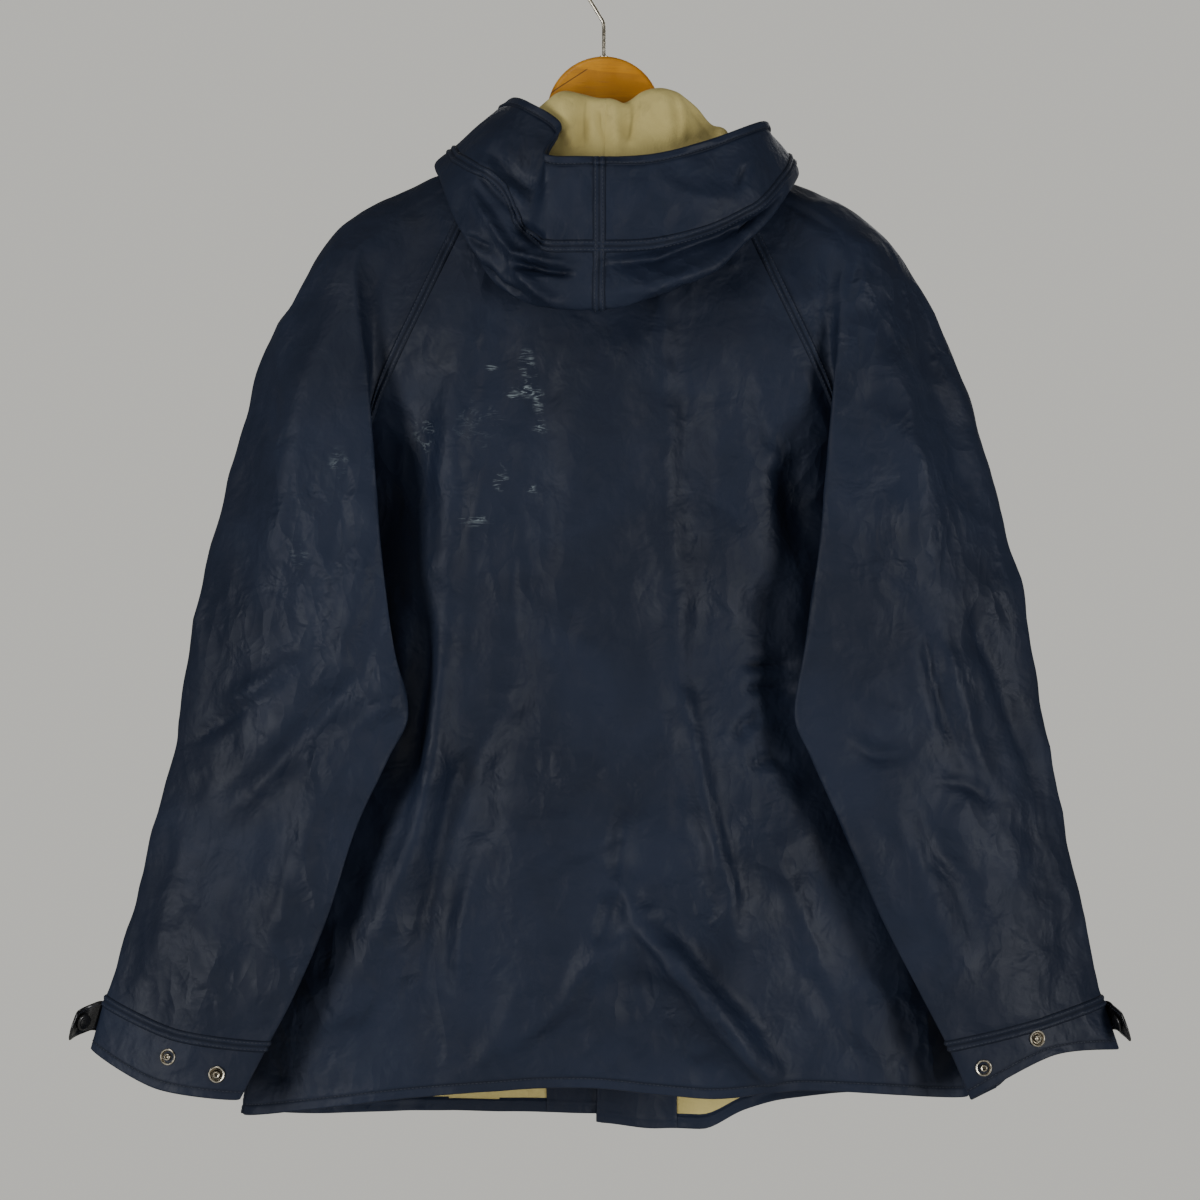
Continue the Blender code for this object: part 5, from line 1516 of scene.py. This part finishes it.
def start_editing():
    """Takes the new object's turn and scale into its mesh, and opens all of it for editing."""
    bpy.ops.object.transform_apply(location=True, rotation=True, scale=True)
    bpy.ops.object.mode_set(mode="EDIT")
    bpy.ops.mesh.select_all(action="SELECT")
    return bpy.context.object


def end_editing():
    """Turns all faces outwards and closes the mesh."""
    bpy.ops.mesh.select_all(action="SELECT")
    bpy.ops.mesh.normals_make_consistent(inside=False)
    bpy.ops.object.mode_set(mode="OBJECT")


def joined(name, piece, other, angle):
    """Two pieces as one, with smooth faces but for edges sharper than an angle."""
    bpy.ops.object.select_all(action="DESELECT")
    piece.select_set(True)
    other.select_set(True)
    bpy.context.view_layer.objects.active = piece
    bpy.ops.object.join()
    bpy.ops.object.shade_smooth_by_angle(angle=math.radians(angle))
    piece.name = piece.data.name = name
    return piece


def turned_piece(name, profile, seat, facing, finish, sides=36, dirt=None):
    """A turned fitting, drawn out ring by ring from its base: profile holds (radius, height) in mm. Dirt is
    (radius, how dark) where painted shade and some grime darken its hollows."""
    bpy.ops.object.select_all(action="DESELECT")
    (radius, height), rest = profile[0], profile[1:]
    bpy.ops.mesh.primitive_circle_add(vertices=sides, radius=radius * MM, location=(0, 0, height * MM))
    piece = start_editing()
    for next_radius, next_height in rest:
        bpy.ops.mesh.extrude_edges_move(TRANSFORM_OT_translate={"value": (0, 0, (next_height - height) * MM)})
        if next_radius:
            share = next_radius / radius
            bpy.ops.transform.resize(value=(share, share, 1), center_override=(0, 0, next_height * MM))
            radius = next_radius
        else:
            bpy.ops.mesh.merge(type="CENTER")
        height = next_height
    end_editing()
    if dirt:
        reach = [math.hypot(v.co.x, v.co.y) / MM for v in piece.data.vertices]
        paint(piece.data, np.interp(reach, *zip(*dirt)))
    turn = Vector(facing).to_track_quat("Z", "Y").to_matrix().to_4x4()
    piece.data.transform(Matrix.Translation(Vector(seat)) @ turn)
    bpy.ops.object.shade_smooth_by_angle(angle=math.radians(38))
    piece.name = piece.data.name = name
    piece.data.materials.append(look(finish))
    return piece


def seat_of(node, towards):
    """(middle of the base, facing) of a packed round fitting, whose top faces about the given way."""
    points = np.array([v.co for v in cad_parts[node].data.vertices])
    points = np.unique(points.round(6), axis=0)
    middle = points.mean(axis=0)
    facing = np.linalg.svd(points - middle)[2][-1]
    facing = facing * np.sign(facing @ np.array(towards, float))
    heights = (points - middle) @ facing
    base = points[heights < heights.min() + 0.0004]
    return (base.max(axis=0) + base.min(axis=0)) / 2, facing


STUD = (  # from the base up, as (radius, height)
    (6.6, -1.2), (7.0, -0.2), (7.05, 0.45), (6.8, 1.0), (6.2, 1.3), (5.6, 1.1), (5.2, 0.3), (4.5, -0.2),
    (3.6, -0.2), (3.1, 0.3), (2.8, 1.2), (2.85, 2.2), (2.6, 2.6), (2.1, 2.8), (1.6, 2.6), (1.25, 1.8),
    (0.9, 1.3), (0, 1.2),
)
STUD_SHADE_AND_DIRT = (  # (radius, how dark): painted shade and grime in the stud's hollows
    (0, 1), (1.25, 0.9), (1.6, 0.1), (2.7, 0), (3.0, 0.8), (3.6, 1), (5.2, 1), (5.6, 0.25), (6.2, 0),
    (6.9, 0.4),
)
SOCKET = (
    (5.6, -1.0), (5.9, 0.0), (5.9, 0.6), (5.5, 1.1), (4.9, 1.35), (4.2, 1.5), (3.5, 1.95), (2.9, 2.0),
    (2.4, 1.8), (2.1, 1.2), (2.0, 0.5), (1.6, 0.35), (0, 0.35),
)
CAP = (
    (6.7, -1.2), (7.1, -0.2), (7.2, 0.2), (7.0, 0.65), (6.3, 1.1), (5.6, 1.4), (5.1, 1.45), (4.8, 1.38),
    (4.2, 1.55), (3.0, 1.85), (1.6, 2.02), (0, 2.08),
)


class JACKET_OT_snaps(bpy.types.Operator):
    """The studs on the cuffs, the sockets and caps on the straps, and the caps down the front"""
    bl_idname = "jacket.snaps"
    bl_label = "Snaps"

    def execute(self, context):
        for side in (-1, 1):
            name = side_name(side)
            for i in (1, 2):
                self.fit(f"cuff_stud_{name}_{i}", STUD, (0, -1, 0), "plated_steel", "steel", STUD_SHADE_AND_DIRT)
            out = np.array(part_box(f"tab_cap_{name}")[0]) - np.array(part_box(f"tab_socket_{name}")[0])
            self.fit(f"tab_socket_{name}", SOCKET, -out, "plated_steel", "steel")
            self.fit(f"tab_cap_{name}", CAP, out, "black_strap", "black")
        for i in range(5):
            self.fit(f"front_snap_{i + 1}", CAP, (0, 1, 0), "plated_steel", "steel")
        return {"FINISHED"}

    def fit(self, node, profile, towards, finish, slot, dirt=None):
        seat, facing = seat_of(node, towards)
        show(turned_piece(f"fitted_{node}", profile, seat, facing, finish, dirt=dirt), slot, node)


def strap_grid(side):
    """Outer points of a cuff's strap, from where it is sewn on round the outer fold to its rounded free end."""
    grid, normals, _ = cuff_surface(side)
    root = []
    for column in (OUTER_COLUMN + 10, OUTER_COLUMN + 5, OUTER_COLUMN):
        line, run = grid[:, column], run_of(grid[:, column])
        at = run[-1] * np.array(STRAP_SPAN)
        root.append(along(line, at) + at_places(at, run, normals[:, column]) * STRAP_LIFT)
    stops = root[:]
    for i, (out, near) in enumerate(STRAP_REACH[side_name(side)]):
        stops.append(root[2] + np.array([side * out, -near, -STRAP_DROP * (i + 1)]))
    top, middle, bottom = (through([stop[j] for stop in stops], [6] * (len(stops) - 1)) for j in range(3))
    reach = run_of(middle)
    found = []
    for i, away in enumerate(reach[-1] - reach):
        half = 1.0 if away > STRAP_ROUND else math.sqrt(max(1 - (1 - away / STRAP_ROUND) ** 2, 0.03))
        across = np.linspace(-1, 1, 13)[:, None] * half
        upper, lower = between(middle[i], top[i], -across), between(middle[i], bottom[i], across)
        found.append(np.where(across < 0, upper, lower))
    return np.array(found)


class JACKET_OT_straps(bpy.types.Operator):
    """The cuffs' snap straps, left undone"""
    bl_idname = "jacket.straps"
    bl_label = "Cuff straps"

    def execute(self, context):
        sewn = []
        for side in (-1, 1):
            name, flip = side_name(side), side > 0
            grid = strap_grid(side)
            normals = normals_of(grid, flip)
            strap = shell(f"jacket_strap_{name}", grid, normals, flip, STRAP_THICK, (look("black_strap"),))
            show(strap, "black", f"cuff_tab_{name}")
            for way in (1, -1):
                sewn.append(inner_line(grid[:-3, ::way], normals[:-3, ::way], STRAP_STITCH))
        show(sew("stitches_straps", sewn, look("navy_thread")), "navy")
        return {"FINISHED"}


class JACKET_OT_hanger(bpy.types.Operator):
    """The wooden hanger with its round head, and the bent wire hook with its collar"""
    bl_idname = "jacket.hanger"
    bl_label = "Hanger and hook"

    def execute(self, context):
        head = joined("hanger_of_wood", self.head(), self.arm(), 45)
        head.data.materials.clear()
        head.data.materials.append(look("varnished_wood"))
        show(head, "wood", "hanger_wood")
        show(self.hook(), "steel", "hanger_hook")
        return {"FINISHED"}

    def head(self):
        """A round plate with an eased rim."""
        bpy.ops.object.select_all(action="DESELECT")
        bpy.ops.mesh.primitive_cylinder_add(
            vertices=128, radius=HEAD_RADIUS * MM, depth=HANGER_THICK * MM, location=(0, 0, HEAD_CENTRE_Z * MM),
            rotation=(math.pi / 2, 0, 0),
        )
        head = bpy.context.object
        bpy.ops.object.transform_apply(location=True, rotation=True, scale=True)
        self.eased(head)
        return head

    def arm(self):
        """One arm, drawn out span by span to its round tip and mirrored."""
        bpy.ops.object.select_all(action="DESELECT")
        start, *spans = HANGER_ARM
        bpy.ops.mesh.primitive_plane_add(size=1, location=(start[0] * MM, 0, start[1] * MM),
                                         rotation=(0, math.pi / 2, 0))
        bpy.context.object.scale = (start[2] * MM, HANGER_THICK * MM, 1)
        arm = start_editing()
        x, z, height = start
        for next_x, next_z, next_height in spans:
            way = ((next_x - x) * MM, 0, (next_z - z) * MM)
            bpy.ops.mesh.extrude_region_move(TRANSFORM_OT_translate={"value": way})
            share = next_height / height
            bpy.ops.transform.resize(value=(1, 1, share), center_override=(next_x * MM, 0, next_z * MM))
            x, z, height = next_x, next_z, next_height
        end_editing()
        mirror = arm.modifiers.new("Other arm", "MIRROR")
        mirror.merge_threshold = 0.0005
        bpy.ops.object.modifier_apply(modifier=mirror.name)
        self.eased(arm)
        return arm

    def eased(self, piece):
        bevel = piece.modifiers.new("Eased edges", "BEVEL")
        bevel.width, bevel.segments, bevel.limit_method = HANGER_EASED * MM, 6, "ANGLE"
        bevel.angle_limit = math.radians(50)
        bpy.context.view_layer.objects.active = piece
        bpy.ops.object.modifier_apply(modifier=bevel.name)

    def hook(self):
        """The wire, bent from the head over the rail, with a small collar where it enters the wood."""
        centre_z = HOOK_WIRE - HOOK_RADIUS
        lean = math.asin(HOOK_RADIUS / (centre_z - HOOK_BEND_Z))
        arc = [(-HOOK_RADIUS * math.cos(a), 0, centre_z + HOOK_RADIUS * math.sin(a))
               for a in np.linspace(-lean, math.pi * 1.12, 60)]
        foot = HEAD_CENTRE_Z + HEAD_RADIUS - 3
        straight = [(0, 0, z) for z in np.linspace(foot, HOOK_BEND_Z - 5, 8)]
        bend = [(0, 0, HOOK_BEND_Z - 5), (-0.7, 0, HOOK_BEND_Z), (-2.6, 0, HOOK_BEND_Z + 3.4), arc[0]]
        bend = through(bend, [4, 4, 6])
        points = straight + [tuple(p) for p in bend[1:]] + arc[1:]
        data = bpy.data.curves.new("hook_wire", "CURVE")
        data.dimensions, data.use_fill_caps = "3D", True
        data.bevel_depth, data.bevel_resolution = HOOK_WIRE * MM, 4
        line = data.splines.new("POLY")
        line.points.add(len(points) - 1)
        for point, place in zip(line.points, points):
            point.co = (*(value * MM for value in place), 1)
        wire = bpy.data.objects.new("hook_wire", data)
        bpy.context.scene.collection.objects.link(wire)
        bpy.ops.object.select_all(action="DESELECT")
        wire.select_set(True)
        bpy.context.view_layer.objects.active = wire
        bpy.ops.object.convert(target="MESH")
        wire = bpy.context.object
        collar = turned_piece("hook_collar", COLLAR, (0, 0, (HEAD_CENTRE_Z + HEAD_RADIUS) * MM), (0, 0, 1),
                              "plated_steel", 24)
        wire.data.materials.clear()
        wire.data.materials.append(look("plated_steel"))
        return joined("hook_of_wire", wire, collar, 50)


class JACKET_OT_stage(bpy.types.Operator):
    """The pale floor, the soft lights and the camera"""
    bl_idname = "jacket.stage"
    bl_label = "Stage"

    def execute(self, context):
        scene, colours = context.scene, context.scene.jacket_colours
        bpy.ops.object.select_all(action="DESELECT")
        bpy.ops.mesh.primitive_circle_add(
            vertices=96, radius=FLOOR_RADIUS, fill_type="NGON", location=(0, 0, FLOOR_Z),
        )
        floor = context.object
        bpy.ops.object.transform_apply(location=True, rotation=True, scale=True)
        floor.name = "floor"
        found, graph, shader, place = material("pale_floor")
        tone = graph.tone(place, 2.0, colours.floor, [v * FLOOR_SHADE for v in colours.floor])
        graph.fill(shader, {"Base Color": tone["Color"], "Roughness": 0.9})
        floor.data.materials.append(found)
        world = scene.world or bpy.data.worlds.new("studio")
        scene.world = world
        world.use_nodes = True
        around = Graph(world.node_tree)
        background = world.node_tree.nodes.get("Background") or around.add("ShaderNodeBackground")
        seen = around.add("ShaderNodeLightPath").outputs["Is Camera Ray"]
        dimmed = (*(value * AMBIENT for value in colours.backdrop), 1)
        tint = around.colour(seen, dimmed, (*colours.backdrop, 1))
        world.node_tree.links.new(tint, background.inputs["Color"])
        background.inputs["Strength"].default_value = 1.0
        for name, place, aim, size, power in LIGHTS:
            light = bpy.data.lights.new(name, "AREA")
            light.shape, light.size, light.size_y, light.energy = "RECTANGLE", *size, power
            lamp = bpy.data.objects.new(name, light)
            lamp.location = place
            lamp.rotation_euler = (Vector(aim) - Vector(place)).to_track_quat("-Z", "Y").to_euler()
            scene.collection.objects.link(lamp)
        lens = bpy.data.cameras.new("photograph")
        lens.sensor_fit, lens.sensor_width, lens.lens = "HORIZONTAL", SENSOR_WIDTH, LENS
        camera = bpy.data.objects.new("photograph", lens)
        camera.location = CAMERA_PLACE
        camera.rotation_euler = (math.pi / 2, 0, 0)
        scene.collection.objects.link(camera)
        scene.camera = camera
        return {"FINISHED"}


def length_of(name, description, value, smallest=0.0):
    return bpy.props.FloatProperty(name=name, description=description, default=value, min=smallest, max=0.05,
                                   unit="LENGTH", precision=5)


def colour_of(name, description, value):
    return bpy.props.FloatVectorProperty(name=name, description=description, default=value, min=0, max=1,
                                         subtype="COLOR")


class JACKET_PG_sizes(bpy.types.PropertyGroup):
    """Sizes of the cloth and the sewing"""
    cloth: length_of("Cloth", "Thickness of the coated cloth", 0.0012)
    crumple: length_of("Crumple", "Height of the cloth's small unevenness", 0.0042)
    crease_depth: bpy.props.FloatProperty(
        name="Crease depth", description="Share of the measured crease heights", default=2.1, min=0, max=3,
        subtype="FACTOR",
    )
    stitch_pitch: length_of("Stitch pitch", "From one stitch to the next", 0.0034, 0.001)
    stitch_length: length_of("Stitch length", "Thread that shows in one stitch", 0.0026, 0.0005)
    thread: length_of("Thread", "Thickness of the thread", 0.0007)


class JACKET_PG_colours(bpy.types.PropertyGroup):
    """Colours of the jacket, its fittings and the stage"""
    navy: colour_of("Navy", "Coated cloth", (0.0115, 0.0174, 0.0360))
    navy_shade: colour_of("Navy shade", "Darker places of the coated cloth", (0.0075, 0.0115, 0.0245))
    scuff: colour_of("Scuff", "Scratches in the coating", (0.42, 0.50, 0.52))
    dust: colour_of("Dust", "Dust on dark surfaces", (0.10, 0.10, 0.10))
    cream: colour_of("Cream", "Woven backing", (0.60, 0.505, 0.205))
    cream_shade: colour_of("Cream shade", "Darker places of the backing", (0.46, 0.375, 0.140))
    stain: colour_of("Stain", "Stains on the backing", (0.32, 0.25, 0.11))
    thread: colour_of("Thread", "Sewing thread", (0.022, 0.028, 0.042))
    strap: colour_of("Strap", "Glossy black strap", (0.010, 0.010, 0.011))
    steel: colour_of("Steel", "Plated fittings", (0.70, 0.66, 0.56))
    steel_shade: colour_of("Steel shade", "Duller places of the plating", (0.48, 0.43, 0.33))
    wood: colour_of("Wood", "Varnished wood", (0.62, 0.270, 0.014))
    wood_shade: colour_of("Wood shade", "Darker wood", (0.48, 0.195, 0.010))
    wood_line: colour_of("Wood line", "Grain lines", (0.24, 0.095, 0.020))
    floor: colour_of("Floor", "Pale floor", (0.70, 0.69, 0.65))
    backdrop: colour_of("Backdrop", "What surrounds the stage", (0.60, 0.59, 0.55))


STEPS = (
    "stage", "back", "fronts", "sleeves", "hood", "seams", "edges", "straps", "snaps", "hanger",
)


class JACKET_PT_panel(bpy.types.Panel):
    """Sizes, colours and pieces of the rain jacket"""
    bl_idname = "JACKET_PT_panel"
    bl_label = "Rain jacket"
    bl_space_type = "VIEW_3D"
    bl_region_type = "UI"
    bl_category = "Rain jacket"

    def draw(self, context):
        for group in (context.scene.jacket_sizes, context.scene.jacket_colours):
            box = self.layout.box()
            for name in group.__annotations__:
                box.prop(group, name)
        for step in STEPS:
            self.layout.operator(f"jacket.{step}")


CLASSES = (
    JACKET_PG_sizes, JACKET_PG_colours, JACKET_OT_stage, JACKET_OT_back, JACKET_OT_fronts, JACKET_OT_sleeves,
    JACKET_OT_hood, JACKET_OT_seams, JACKET_OT_edges, JACKET_OT_straps, JACKET_OT_snaps, JACKET_OT_hanger,
    JACKET_PT_panel,
)


def register():
    for cls in CLASSES:
        bpy.utils.register_class(cls)
    bpy.types.Scene.jacket_sizes = bpy.props.PointerProperty(type=JACKET_PG_sizes)
    bpy.types.Scene.jacket_colours = bpy.props.PointerProperty(type=JACKET_PG_colours)


def unregister():
    del bpy.types.Scene.jacket_colours
    del bpy.types.Scene.jacket_sizes
    for cls in reversed(CLASSES):
        bpy.utils.unregister_class(cls)


def main():
    register()
    for step in STEPS:
        getattr(bpy.ops.jacket, step)()


if __name__ == "__main__":
    main()
